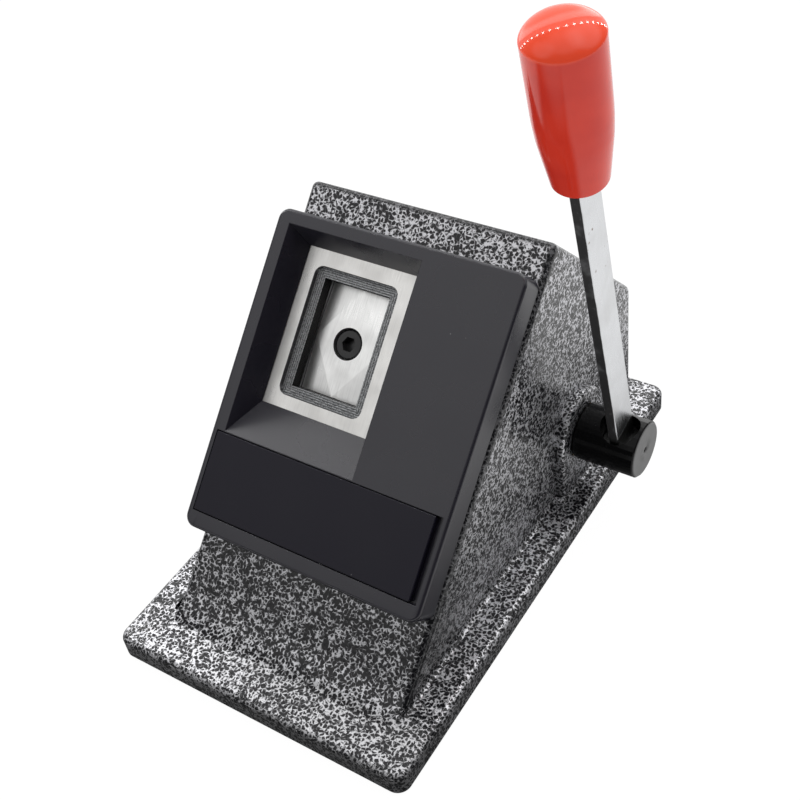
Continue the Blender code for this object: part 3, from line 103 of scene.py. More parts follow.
PAD_STAND = 0.0015
BODY_HALF_WIDTH = 0.05865
FACE_LENGTH = 0.2104
FACE_FOOT_Y = -0.1072
FACE_ANGLE = math.radians(43.63)
LEVER_LEAN = math.radians(10.8)
SHAFT_PLACE = Vector((0.0, 0.0535, 0.0398))
FACE_FRAME = Matrix.Translation((0.0, FACE_FOOT_Y, PAD_STAND)) @ Matrix.Rotation(FACE_ANGLE, 4, "X")
LEVER_FRAME = (Matrix.Translation(SHAFT_PLACE) @ Matrix.Rotation(math.radians(-0.3), 4, "Y")
               @ Matrix.Rotation(LEVER_LEAN, 4, "X"))

# A wall's frame has x and y along the wall and z along world X; the other turns a flat ring to face along X.
WALL = Matrix(((0, 0, 1), (1, 0, 0), (0, 1, 0))).to_4x4()
RING_TURN = Matrix.Rotation(math.pi / 2, 4, "Y")


class Body(Enum):
    """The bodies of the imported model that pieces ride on."""

    HOUSING = "housing"
    LEVER = "lever"


class Slot(Enum):
    """The record's material slots; nothing here uses them."""

    HAMMERTONE = "hammertone"
    BLACK_PLASTIC = "black_plastic"
    MACHINED_STEEL = "machined_steel"
    RED_PLASTIC = "red_plastic"


@dataclass(frozen=True)
class Value:
    """A number socket that Python's arithmetic works on.

    Attributes:
        graph: The nodes that the socket belongs to.
        socket: The output socket.
    """

    graph: "Wiring"
    socket: Socket

    def __add__(self, other: Number) -> "Value":
        """This value plus another."""
        return self.graph.maths("ADD", self, other)

    def __radd__(self, other: Number) -> "Value":
        """Another value plus this one."""
        return self.graph.maths("ADD", other, self)

    def __sub__(self, other: Number) -> "Value":
        """This value less another."""
        return self.graph.maths("SUBTRACT", self, other)

    def __rsub__(self, other: Number) -> "Value":
        """Another value less this one."""
        return self.graph.maths("SUBTRACT", other, self)

    def __mul__(self, other: Number) -> "Value":
        """This value times another."""
        return self.graph.maths("MULTIPLY", self, other)

    def __rmul__(self, other: Number) -> "Value":
        """Another value times this one."""
        return self.graph.maths("MULTIPLY", other, self)

    def highest(self, other: Number) -> "Value":
        """The greater of this value and another."""
        return self.graph.maths("MAXIMUM", self, other)

    def size(self) -> "Value":
        """This value without its sign."""
        return self.graph.maths("ABSOLUTE", self)

    def step(self, low: float, high: float) -> "Value":
        """A soft step from 0 at low to 1 at high.

        Args:
            low: Where the step starts.
            high: Where the step ends; it may lie below low.

        Returns:
            The step.
        """
        if low > high:
            return 1 - self.step(high, low)
        made = self.graph.node("ShaderNodeMapRange", {"interpolation_type": "SMOOTHSTEP"},
                               {"Value": self, "From Min": low, "From Max": high})
        return Value(self.graph, made.outputs["Result"])

    def band(self, limits: Bounds) -> "Value":
        """A soft band, from the two limits of its rise to the two of its fall."""
        return self.step(limits[0], limits[1]) * self.step(limits[3], limits[2])

    def inside(self, edge: float, limits: Span) -> "Value":
        """A soft step between two distances in from an edge."""
        return self.step(edge - limits[0], edge - limits[1])


class Wiring:
    """Adds nodes to a node tree and links them."""

    def __init__(self, tree: bpy.types.NodeTree) -> None:
        """Start on an emptied tree.

        Args:
            tree: The node tree.
        """
        self.tree = tree
        self.tree.nodes.clear()

    def node(self, kind: str, settings: dict[str, object] | None = None,
             sockets: dict[str | int, object] | None = None) -> bpy.types.Node:
        """Add a node.

        Args:
            kind: The node's type.
            settings: Properties, which are set before the sockets.
            sockets: Values or links for its inputs, by name or number.

        Returns:
            The node.
        """
        made = self.tree.nodes.new(kind)
        for key, setting in (settings or {}).items():
            setattr(made, key, setting)
        for key, given in (sockets or {}).items():
            self.feed(made.inputs[key], given)
        return made

    def feed(self, target: Socket, given: object) -> None:
        """Link a socket, or set its value.

        Args:
            target: The input socket.
            given: A Value, an output socket or a plain value.
        """
        if isinstance(given, Value):
            self.tree.links.new(given.socket, target)
        elif isinstance(given, Socket):
            self.tree.links.new(given, target)
        else:
            target.default_value = given

    def maths(self, operation: str, first: Number, second: Number = 0.0) -> Value:
        """One Math node.

        Args:
            operation: The node's operation.
            first: Its first value.
            second: Its second value.

        Returns:
            The result.
        """
        made = self.node("ShaderNodeMath", {"operation": operation}, {0: first, 1: second})
        return Value(self, made.outputs[0])

    def blend(self, share: Number, first: object, second: object) -> Socket:
        """Mix two colours.

        Args:
            share: How much of the second shows.
            first: A colour or a colour socket.
            second: Another.

        Returns:
            The mixed colour.
        """
        made = self.node("ShaderNodeMix", {"data_type": "RGBA"}, {0: share, 6: first, 7: second})
        return made.outputs[2]


class Graph(Wiring):
    """Builds the nodes of one material round a Principled shader."""

    def __init__(self, name: str) -> None:
        """Start a material.

        Args:
            name: The material's name.
        """
        self.material = bpy.data.materials.new(name)
        self.material.use_nodes = True
        super().__init__(self.material.node_tree)
        self.shader = self.node("ShaderNodeBsdfPrincipled")
        self.node("ShaderNodeOutputMaterial", {}, {"Surface": self.shader.outputs["BSDF"]})
        self.place = self.node("ShaderNodeTexCoord").outputs["Object"]

    def noise(self, scale: float, detail: float = 2.0, roughness: float = 0.5,
              place: Socket | None = None) -> Value:
        """Fractal noise between about 0 and 1.

        Args:
            scale: Cells in a metre.
            detail: Octaves.
            roughness: Weight of the finer octaves.
            place: Where it is read, the object's own coordinates if left out.

        Returns:
            The noise.
        """
        made = self.node("ShaderNodeTexNoise", {}, {
            "Vector": place or self.place, "Scale": scale, "Detail": detail, "Roughness": roughness})
        return Value(self, made.outputs[0])

    def cells(self, scale: float, feature: str, place: Socket | None = None) -> Value:
        """Distance in a pattern of irregular cells.

        Args:
            scale: Cells in a metre.
            feature: The distance that is measured.
            place: Where it is read, the object's own coordinates if left out.

        Returns:
            The distance.
        """
        made = self.node("ShaderNodeTexVoronoi", {"feature": feature}, {
            "Vector": place or self.place, "Scale": scale})
        return Value(self, made.outputs["Distance"])

    def bent(self, scale: float, reach: float) -> Socket:
        """The object's coordinates pushed about by noise.

        Args:
            scale: Cells of the noise in a metre.
            reach: Largest push in metres, about.

        Returns:
            The bent coordinates.
        """
        pushes = self.node("ShaderNodeTexNoise", {}, {"Vector": self.place, "Scale": scale, "Detail": 1.0})
        moved = self.node("ShaderNodeVectorMath", {"operation": "MULTIPLY_ADD"}, {
            0: pushes.outputs["Color"], 1: (2 * reach,) * 3, 2: self.place})
        return moved.outputs[0]

    def framed(self, centre: Point, turn: Point, factors: Point = (1.0, 1.0, 1.0)) -> Socket:
        """The object's coordinates in a piece's own frame.

        Args:
            centre: Origin of that frame.
            turn: Its Euler angles.
            factors: How much each of its axes is then stretched.

        Returns:
            The coordinates.
        """
        moved = self.node("ShaderNodeVectorMath", {"operation": "SUBTRACT"}, {0: self.place, 1: centre})
        turned = self.node("ShaderNodeVectorRotate", {"rotation_type": "EULER_XYZ", "invert": True},
                           {"Vector": moved.outputs[0], "Rotation": turn})
        scaled = self.node("ShaderNodeVectorMath", {"operation": "MULTIPLY"}, {
            0: turned.outputs[0], 1: factors})
        return scaled.outputs[0]

    def on_face(self, factors: Point = (1.0, 1.0, 1.0)) -> Socket:
        """Coordinates in the frame of the sloping face, stretched."""
        return self.framed((0.0, FACE_FOOT_Y, PAD_STAND), (FACE_ANGLE, 0.0, 0.0), factors)

    def on_lever(self, factors: Point = (1.0, 1.0, 1.0)) -> Socket:
        """Coordinates in the frame of the leaning bar, stretched."""
        return self.framed(tuple(SHAFT_PLACE), (LEVER_LEAN, 0.0, 0.0), factors)

    def axes(self, place: Socket) -> tuple[Value, Value, Value]:
        """The three numbers of a vector socket."""
        made = self.node("ShaderNodeSeparateXYZ", {}, {0: place})
        return Value(self, made.outputs[0]), Value(self, made.outputs[1]), Value(self, made.outputs[2])

    def relief(self, height: Value, depth: float,
               under: Socket | None = None) -> Socket:
        """A bumped normal.

        Args:
            height: Height from 0 to 1.
            depth: What 1 stands for, in metres.
            under: A normal that it adds to.

        Returns:
            The normal.
        """
        sockets = {"Height": height, "Distance": depth, "Strength": 1.0}
        if under is not None:
            sockets["Normal"] = under
        return self.node("ShaderNodeBump", {}, sockets).outputs[0]

    def dress(self, inputs: dict[str, object]) -> Material:
        """Feed the shader's sockets and hand over the material.

        Args:
            inputs: Values or links, by the socket's name.

        Returns:
            The material.
        """
        for key, given in inputs.items():
            self.feed(self.shader.inputs[key], given)
        return self.material


def grey(level: float, warmth: float = 0.0) -> Colour:
    """A grey, a little warmer or cooler than neutral."""
    return level * (1 + warmth), level, level * (1 - warmth), 1.0


def toned(colour: Colour, factor: float) -> Colour:
    """A lighter or darker tone of a colour."""
    return tuple(factor * part for part in colour[:3]) + (1.0,)


@dataclass(frozen=True)
class Hammertone:
    """Glossy charcoal enamel with a net of silver veins and a skin like orange peel.

    Its places on the cutter end in _out and _up, out of the sloping face and up it, or in _y, _z and _x
    along the world's axes, or in _in, how far in from an edge of the wedge.

    Attributes:
        cell: Distance from one dark blob to the next.
        vein: Half width of a vein, as a share of a cell.
        dark: The charcoal.
        silver: The veins.
        dull: The veins' silver as painted shade, for places that the studio lights too brightly.
    """

    cell: float = 0.00175
    vein: float = 0.082
    dark: Colour = (0.0050, 0.0050, 0.0065, 1.0)
    silver: Colour = (0.61, 0.61, 0.635, 1.0)
    dull: Colour = grey(0.25)
    half_width: float = BODY_HALF_WIDTH
    face_length: float = FACE_LENGTH
    foot_band_out: Bounds = (-0.0042, -0.0022, 0.0010, 0.0030)
    foot_band_up: Bounds = (0.010, 0.018, 0.052, 0.070)
    rim_out: Bounds = (-0.0042, -0.0022, 0.0006, 0.0012)
    rim_up: Span = (0.016, 0.022)
    left_rim_up: Span = (0.100, 0.120)
    side_rim_in: Span = (0.0026, 0.0014)
    crest_rim_in: Span = (0.0030, 0.0016)
    fray: float = 0.002
    back_y: Span = (0.046, 0.050)
    back_in: Span = (0.0002, 0.0012)
    strip_y: Span = (-0.085, -0.100)
    strip_z: Span = (0.0135, 0.0128)
    strip_x: Span = (-0.045, 0.015)
    toe_y: Span = (-0.030, -0.075)
    toe_in: Span = (0.0004, 0.0001)
    toe_z: Span = (0.0130, 0.0150)
    peel: float = 0.00008

    def _darkened_edges(self, x: Value, y: Value, ragged: Value) -> Value:
        """Where the enamel is darker, with fewer silver flecks, along both sides of the sloping face and its
        crest.

        Args:
            x: Place across the face.
            y: Place up the face.
            ragged: How far noise moves the rims.

        Returns:
            1 on the rims and 0 elsewhere.
        """
        right = (ragged + x).inside(self.half_width, self.side_rim_in)
        left = (ragged - x).inside(self.half_width, self.side_rim_in) * y.step(*self.left_rim_up)
        return right.highest(left).highest((ragged + y).inside(self.face_length, self.crest_rim_in))

    def _painted_shade_share(self, graph: Graph) -> Value:
        """How much painted shade darkens the silver: on the back, the flange's front strip and the right wall's
        toe.

        Args:
            graph: The material's nodes.

        Returns:
            The share from 0 to 1.
        """
        x, y, z = graph.axes(graph.place)
        back = y.step(*self.back_y) * x.size().inside(self.half_width, self.back_in)
        strip = y.step(*self.strip_y) * z.step(*self.strip_z) * (x.step(*self.strip_x) * 0.35 + 0.15)
        toe = x.inside(self.half_width, self.toe_in) * y.step(*self.toe_y) * z.step(*self.toe_z)
        return strip.highest(back * 0.55).highest(toe * 0.85)

    def build(self) -> Material:
        """Build the enamel's material.

        Returns:
            The material.
        """
        graph = Graph("hammertone_enamel")
        bent = graph.bent(1 / self.cell, self.cell * 0.34)
        edge = graph.cells(1 / self.cell, "DISTANCE_TO_EDGE", bent)
        dots = graph.cells(1 / (self.cell * 0.56), "F1", bent)
        pools = graph.noise(1 / (self.cell * 2.4), 0.0)
        worms = graph.noise(1 / (self.cell * 0.85), 0.0)
        x, y, z = graph.axes(graph.on_face())
        # Fewer silver flecks on the concave foot of the sloping face below the cover, so it reads darker.
        fewer_flecks_at_foot = z.band(self.foot_band_out) * y.band(self.foot_band_up)
        reach = (pools - 0.5) * 0.20 + (worms - 0.5) * 0.50 + self.vein - fewer_flecks_at_foot * 0.050
        fleck = (reach - edge).step(-0.10, 0.10) * dots.step(0.10, 0.36)
        rims = self._darkened_edges(x, y, (worms - 0.5) * self.fray) * z.band(self.rim_out) * y.step(*self.rim_up)
        # Fewer silver flecks along the edges of the sloping face and its crest, so that they read dark.
        fleck = fleck * (1 - rims * 0.8)
        # Painted shade: the silver is darkened on the back, the flange's front strip and the right wall's toe.
        silver = graph.blend(self._painted_shade_share(graph), self.silver, self.dull)
        skin = edge.step(0.0, 0.5) * 0.3 + graph.noise(1 / (self.cell * 0.8), 1.0)
        return graph.dress({"Base Color": graph.blend(fleck, self.dark, silver),
                            "Roughness": fleck * 0.28 + 0.10, "Metallic": fleck * 0.9,
                            "Specular IOR Level": 0.36, "Normal": graph.relief(skin, self.peel)})


@dataclass(frozen=True)
class SatinPlastic:
    """Moulded black plastic with a fine spark-eroded grain and a few dust specks."""

    name: str
    colour: Colour
    roughness: float
    grain: float = 0.000012
    gloss: float = 0.5

    def build(self) -> Material:
        """Build the plastic's material.

        Returns:
            The material.
        """
        graph = Graph(self.name)
        cloud = graph.noise(45.0, 3.0)
        specks = graph.cells(160.0, "F1").step(0.055, 0.03) * graph.noise(70.0).step(0.60, 0.66)
        clouded = graph.blend(cloud * 0.35, self.colour, toned(self.colour, 1.3))
        colour = graph.blend(specks * 0.35, clouded, grey(0.35))
        grain = graph.noise(3800.0, 2.0)
        return graph.dress({"Base Color": colour, "Roughness": (cloud - 0.5) * 0.12 + self.roughness,
                            "Specular IOR Level": self.gloss, "Normal": graph.relief(grain, self.grain)})


@dataclass(frozen=True)
class GroundSteel:
    """Surface-ground tool steel with its grinding lines along the face's own y axis.

    Attributes:
        name: The material's name.
        colour: The clean steel.
        smudged: The steel where it is dulled.
        hole: Middle of the die's cut-out, on the face.
        hole_half: Half its width and half its length.
        pocket: Level between the die's top and the floor of its milled pocket.
        bore: Level at which the walls of the cut-out, darkened near black as painted shade, start.
        bore_past: How far past the cut-out's edge they reach.
        milling: The milled ridges, in radians a metre.
        wobble: How far the pits push the ridges about.
    """

    name: str = "ground_steel_die"
    colour: Colour = (0.79, 0.78, 0.76, 1.0)
    smudged: Colour = (0.70, 0.69, 0.67, 1.0)
    hole: Span = (-0.0222, 0.1476)
    hole_half: Span = (0.0165, 0.024)
    pocket: Span = (-0.0001, -0.0003)
    bore: Span = (-0.0025, -0.0026)
    bore_past: Span = (0.0006, 0.0004)
    milling: float = 6400.0
    wobble: float = 0.0012

    def build(self, relief: bool = True) -> Material:
        """Build the steel's material.

        Args:
            relief: Whether it is the die plate, with its rough milled pocket.

        Returns:
            The material.
        """
        graph = Graph(self.name)
        lines = graph.noise(1.0, 3.0, 0.6, graph.on_face((3200.0, 90.0, 90.0)))
        smudge = graph.noise(70.0, 3.0)
        colour = graph.blend(smudge.step(0.35, 0.75), self.colour, self.smudged)
        colour = graph.blend(lines.step(0.45, 0.75) * 0.25, colour, grey(0.48))
        roughness = (lines - 0.5) * 0.25 + (smudge - 0.5) * 0.2 + 0.33
        normal = graph.relief(lines, 0.000006)
        if relief:
            x, y, z = graph.axes(graph.on_face())
            inside = z.step(*self.pocket)
            pits = graph.noise(1500.0, 3.0, 0.7)
            past_x = (x - self.hole[0]).size() - self.hole_half[0]
            past_y = (y - self.hole[1]).size() - self.hole_half[1]
            wave = (past_x.highest(past_y) + (pits - 0.5) * self.wobble) * self.milling
            ridges = graph.maths("SINE", wave) * 0.5 + 0.5
            grain = ridges * 0.6 + pits.step(0.38, 0.62) * 0.4
            colour = graph.blend(inside, colour, graph.blend(grain, grey(0.05, -0.03), grey(0.50, -0.02)))
            # Painted shade: the walls of the cut-out are darkened to near black.
            bore = z.step(*self.bore) * past_x.step(*self.bore_past) * past_y.step(*self.bore_past)
            colour = graph.blend(bore, colour, grey(0.018))
            roughness = roughness + inside * 0.15
            normal = graph.relief(pits * inside, 0.00008, normal)
            normal = graph.relief(ridges * inside, 0.00012, normal)
        return graph.dress({"Base Color": colour, "Roughness": roughness, "Metallic": 0.95, "Normal": normal})


@dataclass(frozen=True)
class BrightBar:
    """Rolled steel bar: bright broad faces, dark mill scale on its narrow edges, a little rust.

    Attributes:
        colour: The bright steel.
        scale: The mill scale.
        rust: The rust's freckles.
        half_width: Half the bar's width.
        edge_in: How far in from it the mill scale starts and ends.
        rust_up: Up the bar, where the freckles start.
        root_up: Up the bar, where its dark root ends.
    """

    colour: Colour = (0.66, 0.67, 0.685, 1.0)
    scale: Colour = (0.030, 0.029, 0.030, 1.0)
    rust: Colour = (0.20, 0.11, 0.05, 1.0)
    half_width: float = 0.00745
    edge_in: Span = (0.0003, 0.0001)
    rust_up: Span = (0.100, 0.130)
    root_up: Span = (0.0130, 0.0122)

    def build(self) -> Material:
        """Build the bar's material.

        Returns:
            The material.
        """
        graph = Graph("bright_steel_bar")
        lines = graph.noise(1.0, 3.0, 0.6, graph.on_lever((1800.0, 1800.0, 40.0)))
        cloud = graph.noise(90.0, 3.0)
        freckle = graph.cells(420.0, "F1").step(0.36, 0.16) * graph.noise(120.0, 2.0).step(0.60, 0.66)
        x, y, z = graph.axes(graph.on_lever())
        spotted = freckle * z.step(*self.rust_up)
        aside = y.size() + (cloud - 0.5) * 0.0004
        edge = aside.inside(self.half_width, self.edge_in)
        root = (z + (cloud - 0.5) * 0.004).step(*self.root_up)
        bare = graph.noise(600.0, 2.0).step(0.62, 0.75) * 0.35
        colour = graph.blend(cloud.step(0.4, 0.8) * 0.5, self.colour, grey(0.55))
        colour = graph.blend(spotted * 0.85, colour, self.rust)
        colour = graph.blend(edge, colour, graph.blend(bare, self.scale, grey(0.20)))
        colour = graph.blend(root, colour, grey(0.010))
        roughness = (lines - 0.5) * 0.2 + (cloud - 0.5) * 0.15 + 0.30 + spotted * 0.3 + edge * 0.15
        return graph.dress({"Base Color": colour, "Roughness": roughness,
                            "Metallic": (1 - spotted * 0.7) * (1 - edge * 0.8) * (1 - root),
                            "Normal": graph.relief(lines, 0.000004)})


@dataclass(frozen=True)
class GlossyRed:
    """Glossy red plastic of the grip, a little cloudy, with hairline scuffs.

    Attributes:
        colour: The red.
        deep: The red of its clouds.
        crown: Painted light, a brighter red on the grip's top.
        crown_up: Up the bar, where the top and its painted light start.
    """

    colour: Colour = (0.82, 0.046, 0.021, 1.0)
    deep: Colour = (0.73, 0.035, 0.017, 1.0)
    crown: Colour = (0.99, 0.088, 0.036, 1.0)
    crown_up: Span = (0.2165, 0.2180)

    def build(self) -> Material:
        """Build the grip's material.

        Returns:
            The material.
        """
        graph = Graph("glossy_red_plastic")
        cloud = graph.noise(60.0, 2.0)
        ripple = graph.noise(210.0, 1.0)
        slanted = graph.framed((0.0, 0.0, 0.0), (0.4, 0.2, 0.1), (2600.0, 120.0, 300.0))
        scuffs = graph.noise(1.0, 2.0, 0.6, slanted)
        colour = graph.blend(cloud.step(0.3, 0.7), self.colour, self.deep)
        x, y, z = graph.axes(graph.on_lever())
        # Painted light: the top of the grip is a brighter red.
        colour = graph.blend(z.step(*self.crown_up), colour, self.crown)
        roughness = 0.075 + scuffs.step(0.60, 0.72) * 0.08 + (cloud - 0.5) * 0.04
        return graph.dress({"Base Color": colour, "Roughness": roughness, "Specular IOR Level": 0.4,
                            "Normal": graph.relief(ripple, 0.000015)})


@dataclass(frozen=True)
class BlackOxide:
    """Blackened, oiled steel with turning marks and slightly bare edges.

    Attributes:
        name: The material's name.
        colour: The black.
        roughness: How dull it is.
        about_x: Whether its end face is turned about X, as the hub's is, with turning marks and a lighter grey
            that is a painted reflection of the pale floor.
        gloss: How strongly it mirrors, 0.5 for plain plastic.
        end_x: Where along X the turned end face starts.
        rings: Its turning marks, in radians a metre.
    """

    name: str
    colour: Colour = (0.0035, 0.0035, 0.0038, 1.0)
    roughness: float = 0.16
    about_x: bool = False
    gloss: float = 0.5
    end_x: Span = (0.0925, 0.0929)
    rings: float = 14000.0

    def build(self) -> Material:
        """Build the black steel's material.

        Returns:
            The material.
        """
        graph = Graph(self.name)
        cloud = graph.noise(160.0, 3.0)
        worn = graph.noise(520.0, 3.0, 0.65)
        colour = graph.blend(worn.step(0.60, 0.80) * 0.25, self.colour, grey(0.05))
        marks = graph.noise(1500.0, 2.0)
        roughness = (cloud - 0.5) * 0.16 + self.roughness
        height = marks
        if self.about_x:
            x, y, z = graph.axes(graph.framed(tuple(SHAFT_PLACE), (0.0, 0.0, 0.0)))
            from_axis = graph.maths("POWER", y * y + z * z, 0.5)
            rings = graph.maths("SINE", from_axis * self.rings) * 0.5 + 0.5
            end = x.step(*self.end_x)
            patch = end * (from_axis + (cloud - 0.5) * 0.012).step(0.0075, 0.0035)
            # Painted reflection: the turned end face is a lighter grey, for the pale floor mirrored in it.
            colour = graph.blend(end * 0.9, colour, grey(0.19))
            colour = graph.blend(patch * cloud.step(0.40, 0.62) * 0.7, colour, grey(0.05))
            roughness = roughness + end * 0.20
            height = marks * 0.6 + rings * end * 0.5
        return graph.dress({"Base Color": colour, "Roughness": roughness, "Specular IOR Level": self.gloss,
                            "Normal": graph.relief(height, 0.000012)})


@dataclass(frozen=True)
class WorkingMetal:
    """Plain machined or rolled metal for the works inside and the bottom cover."""

    name: str
    colour: Colour
    roughness: float
    mark: float = 900.0

    def build(self) -> Material:
        """Build the metal's material.

        Returns:
            The material.
        """
        graph = Graph(self.name)
        cloud = graph.noise(60.0, 3.0)
        marks = graph.noise(self.mark, 3.0, 0.6)
        colour = graph.blend(cloud.step(0.3, 0.7) * 0.5, self.colour, toned(self.colour, 0.72))
        roughness = (marks - 0.5) * 0.2 + (cloud - 0.5) * 0.1 + self.roughness
        return graph.dress({"Base Color": colour, "Roughness": roughness, "Metallic": 1.0,
                            "Normal": graph.relief(marks, 0.00001)})


@dataclass(frozen=True)
class Rubber:
    """Dull black rubber sheet with a fine fabric-like grain."""

    colour: Colour = (0.018, 0.018, 0.018, 1.0)

    def build(self) -> Material:
        """Build the rubber's material.

        Returns:
            The material.
        """
        graph = Graph("black_rubber_sheet")
        grain = graph.cells(1400.0, "F1")
        cloud = graph.noise(80.0, 3.0)
        colour = graph.blend(cloud.step(0.45, 0.75), self.colour, grey(0.035))
        return graph.dress({"Base Color": colour, "Roughness": (cloud - 0.5) * 0.1 + 0.78,
                            "Normal": graph.relief(grain, 0.00006)})


@dataclass(frozen=True)
class Finishes:
    """Every finish of the cutter, built once."""

    enamel: Material
    cover: Material
    bar: Material
    die: Material
    punch: Material
    lever: Material
    red: Material
    hub: Material
    screw: Material
    machined: Material
    bronze: Material
    zinc: Material
    rubber: Material

    @classmethod
    def mix(cls) -> "Finishes":
        """Build the whole set.

        Returns:
            The set.
        """
        return cls(
            enamel=Hammertone().build(),
            cover=SatinPlastic("satin_black_plastic", (0.0095, 0.0085, 0.0150, 1.0), 0.28,
                               gloss=0.66).build(),
            bar=SatinPlastic("label_bar_plastic", (0.0062, 0.0052, 0.0115, 1.0), 0.24,
                             grain=0.000008, gloss=0.24).build(),
            die=GroundSteel().build(),
            punch=GroundSteel("ground_steel_punch", (0.92, 0.92, 0.91, 1.0),
                              (0.81, 0.81, 0.80, 1.0)).build(relief=False),
            lever=BrightBar().build(),
            red=GlossyRed().build(),
            hub=BlackOxide("blackened_hub", about_x=True, gloss=0.14).build(),
            screw=BlackOxide("black_oxide_screws", (0.008, 0.008, 0.009, 1.0), 0.28).build(),
            machined=WorkingMetal("machined_steel", (0.46, 0.46, 0.47, 1.0), 0.38).build(),
            bronze=WorkingMetal("bearing_bronze", (0.52, 0.33, 0.15, 1.0), 0.36).build(),
            zinc=WorkingMetal("zinc_sheet", (0.52, 0.53, 0.55, 1.0), 0.45, 250.0).build(),
            rubber=Rubber().build(),
        )


def block(low: Point, high: Point) -> Shape:
    """A box between two corners.

    Args:
        low: Its lowest corner.
        high: Its highest corner.

    Returns:
        The box.
    """
    shape = bmesh.new()
    bmesh.ops.create_cube(shape, size=1.0)
    span = Vector(high) - Vector(low)
    bmesh.ops.scale(shape, vec=span, verts=shape.verts)
    bmesh.ops.translate(shape, vec=Vector(low) + span / 2, verts=shape.verts)
    return shape


def faces_where(shape: Shape, test: Test) -> list[bmesh.types.BMFace]:
    """Faces whose middle and normal pass a test."""
    return [face for face in shape.faces if test(face.calc_center_median(), face.normal)]


def edges_where(shape: Shape, test: Test) -> list[bmesh.types.BMEdge]:
    """Edges whose two ends, as vectors, pass a test."""
    return [edge for edge in shape.edges if test(edge.verts[0].co, edge.verts[1].co)]


def corners_of(made: Iterable[object]) -> list[Corner]:
    """The corners among what an operator made."""
    return [item for item in made if isinstance(item, Corner)]


def face_out(shape: Shape) -> None:
    """Turn every face outwards."""
    bmesh.ops.recalc_face_normals(shape, faces=shape.faces)


def round_off(shape: Shape, edges: Iterable[bmesh.types.BMEdge], radius: float, steps: int) -> None:
    """Round edges over.

    Args:
        shape: The mesh.
        edges: The edges.
        radius: How far the rounding reaches.
        steps: Its segments.
    """
    bmesh.ops.bevel(shape, geom=list(edges), offset=radius, offset_type="OFFSET", segments=steps, profile=0.5,
                    affect="EDGES", clamp_overlap=True, material=-1)


def slab(low: Point, high: Point, corner: float, edge: float, steps: Sequence[int]) -> Shape:
    """A box with round corners and a soft upper rim.

    Args:
        low: Its lowest corner.
        high: Its highest corner.
        corner: Radius of the upright corners.
        edge: Radius of the rim.
        steps: Segments of each corner and of the rim.

    Returns:
        The slab.
    """
    shape = block(low, high)
    round_off(shape, edges_where(shape, lambda a, b: abs(a.z - b.z) > RUN), corner, steps[0])
    round_off(shape, edges_where(shape, lambda a, b: min(a.z, b.z) > high[2] - TOUCH), edge, steps[1])
    return shape


def lying(frame: Matrix, bounds: Bounds = EVERYWHERE) -> Test:
    """A test for faces on a frame's ground plane.

    Args:
        frame: Its x and y span the plane.
        bounds: Low x, high x, low y and high y round the face's middle.

    Returns:
        The test.
    """
    back, out = frame.inverted(), Vector(frame.col[2][:3])
    x_low, x_high, y_low, y_high = bounds

    def test(middle: Vector, normal: Vector) -> bool:
        """Whether the face lies there."""
        x, y, z = back @ middle
        return abs(z) < ON_PLANE and abs(normal.dot(out)) > SQUARE and x_low < x < x_high and y_low < y < y_high

    return test


def window(shape: Shape, frame: Matrix, bounds: Bounds,
           within: Bounds = EVERYWHERE) -> list[bmesh.types.BMFace]:
    """Score a rectangle into the faces on a frame's ground plane.

    Args:
        shape: The mesh.
        frame: Its x and y span the plane.
        bounds: The rectangle's low x, high x, low y and high y.
        within: Bounds of the faces that are scored.

    Returns:
        The faces inside the rectangle.
    """
    for number, limit in enumerate(bounds):
        axis = number // 2
        faces = faces_where(shape, lying(frame, within))
        scored = dict.fromkeys(item for face in faces for item in (face, *face.edges, *face.verts))
        place = frame @ Vector((0, limit, 0) if axis else (limit, 0, 0))
        bmesh.ops.bisect_plane(shape, geom=list(scored), dist=WELD, plane_co=place,
                               plane_no=frame.col[axis][:3])
    return faces_where(shape, lying(frame, bounds))


def push(shape: Shape, faces: Sequence[bmesh.types.BMFace], move: Vector) -> list[Corner]:
    """Extrude faces by a vector and take the old ones away.

    Args:
        shape: The mesh.
        faces: The faces.
        move: Where they go.

    Returns:
        The moved corners.
    """
    corners = corners_of(bmesh.ops.extrude_face_region(shape, geom=list(faces))["geom"])
    bmesh.ops.translate(shape, vec=move, verts=corners)
    bmesh.ops.delete(shape, geom=[face for face in faces if face.is_valid], context="FACES")
    return corners


def lathe(outline: Sequence[Span], steps: int, frame: Matrix) -> Shape:
    """A solid of revolution about its own Z.

    Args:
        outline: Points of radius and height.
        steps: Segments of the turn.
        frame: Where it goes.

    Returns:
        The solid.
    """
    shape = bmesh.new()
    corners = [shape.verts.new((radius, 0.0, height)) for radius, height in outline]
    edges = [shape.edges.new(pair) for pair in zip(corners, corners[1:])]
    bmesh.ops.spin(shape, geom=corners + edges, cent=(0, 0, 0), axis=(0, 0, 1), angle=2 * math.pi, steps=steps,
                   use_merge=True)
    bmesh.ops.remove_doubles(shape, verts=shape.verts, dist=WELD)
    face_out(shape)
    shape.transform(frame)
    return shape


def sweep(shape: Shape, edges: Sequence[bmesh.types.BMEdge], moves: Iterable[Matrix]) -> None:
    """Draw a chain of edges out through a row of moves.

    Args:
        shape: The mesh.
        edges: The chain.
        moves: A transform for each step, applied to the last ring.
    """
    for move in moves:
        made = bmesh.ops.extrude_edge_only(shape, edges=list(edges))["geom"]
        corners = corners_of(made)
        fresh = set(corners)
        bmesh.ops.transform(shape, matrix=move, verts=corners)
        edges = [item for item in made
                 if isinstance(item, bmesh.types.BMEdge) and all(vert in fresh for vert in item.verts)]


def about(place: Point, angle: float, axis: str = "Z") -> Matrix:
    """A turn about an axis through a place."""
    return Matrix.Translation(place) @ Matrix.Rotation(angle, 4, axis) @ Matrix.Translation(-Vector(place))


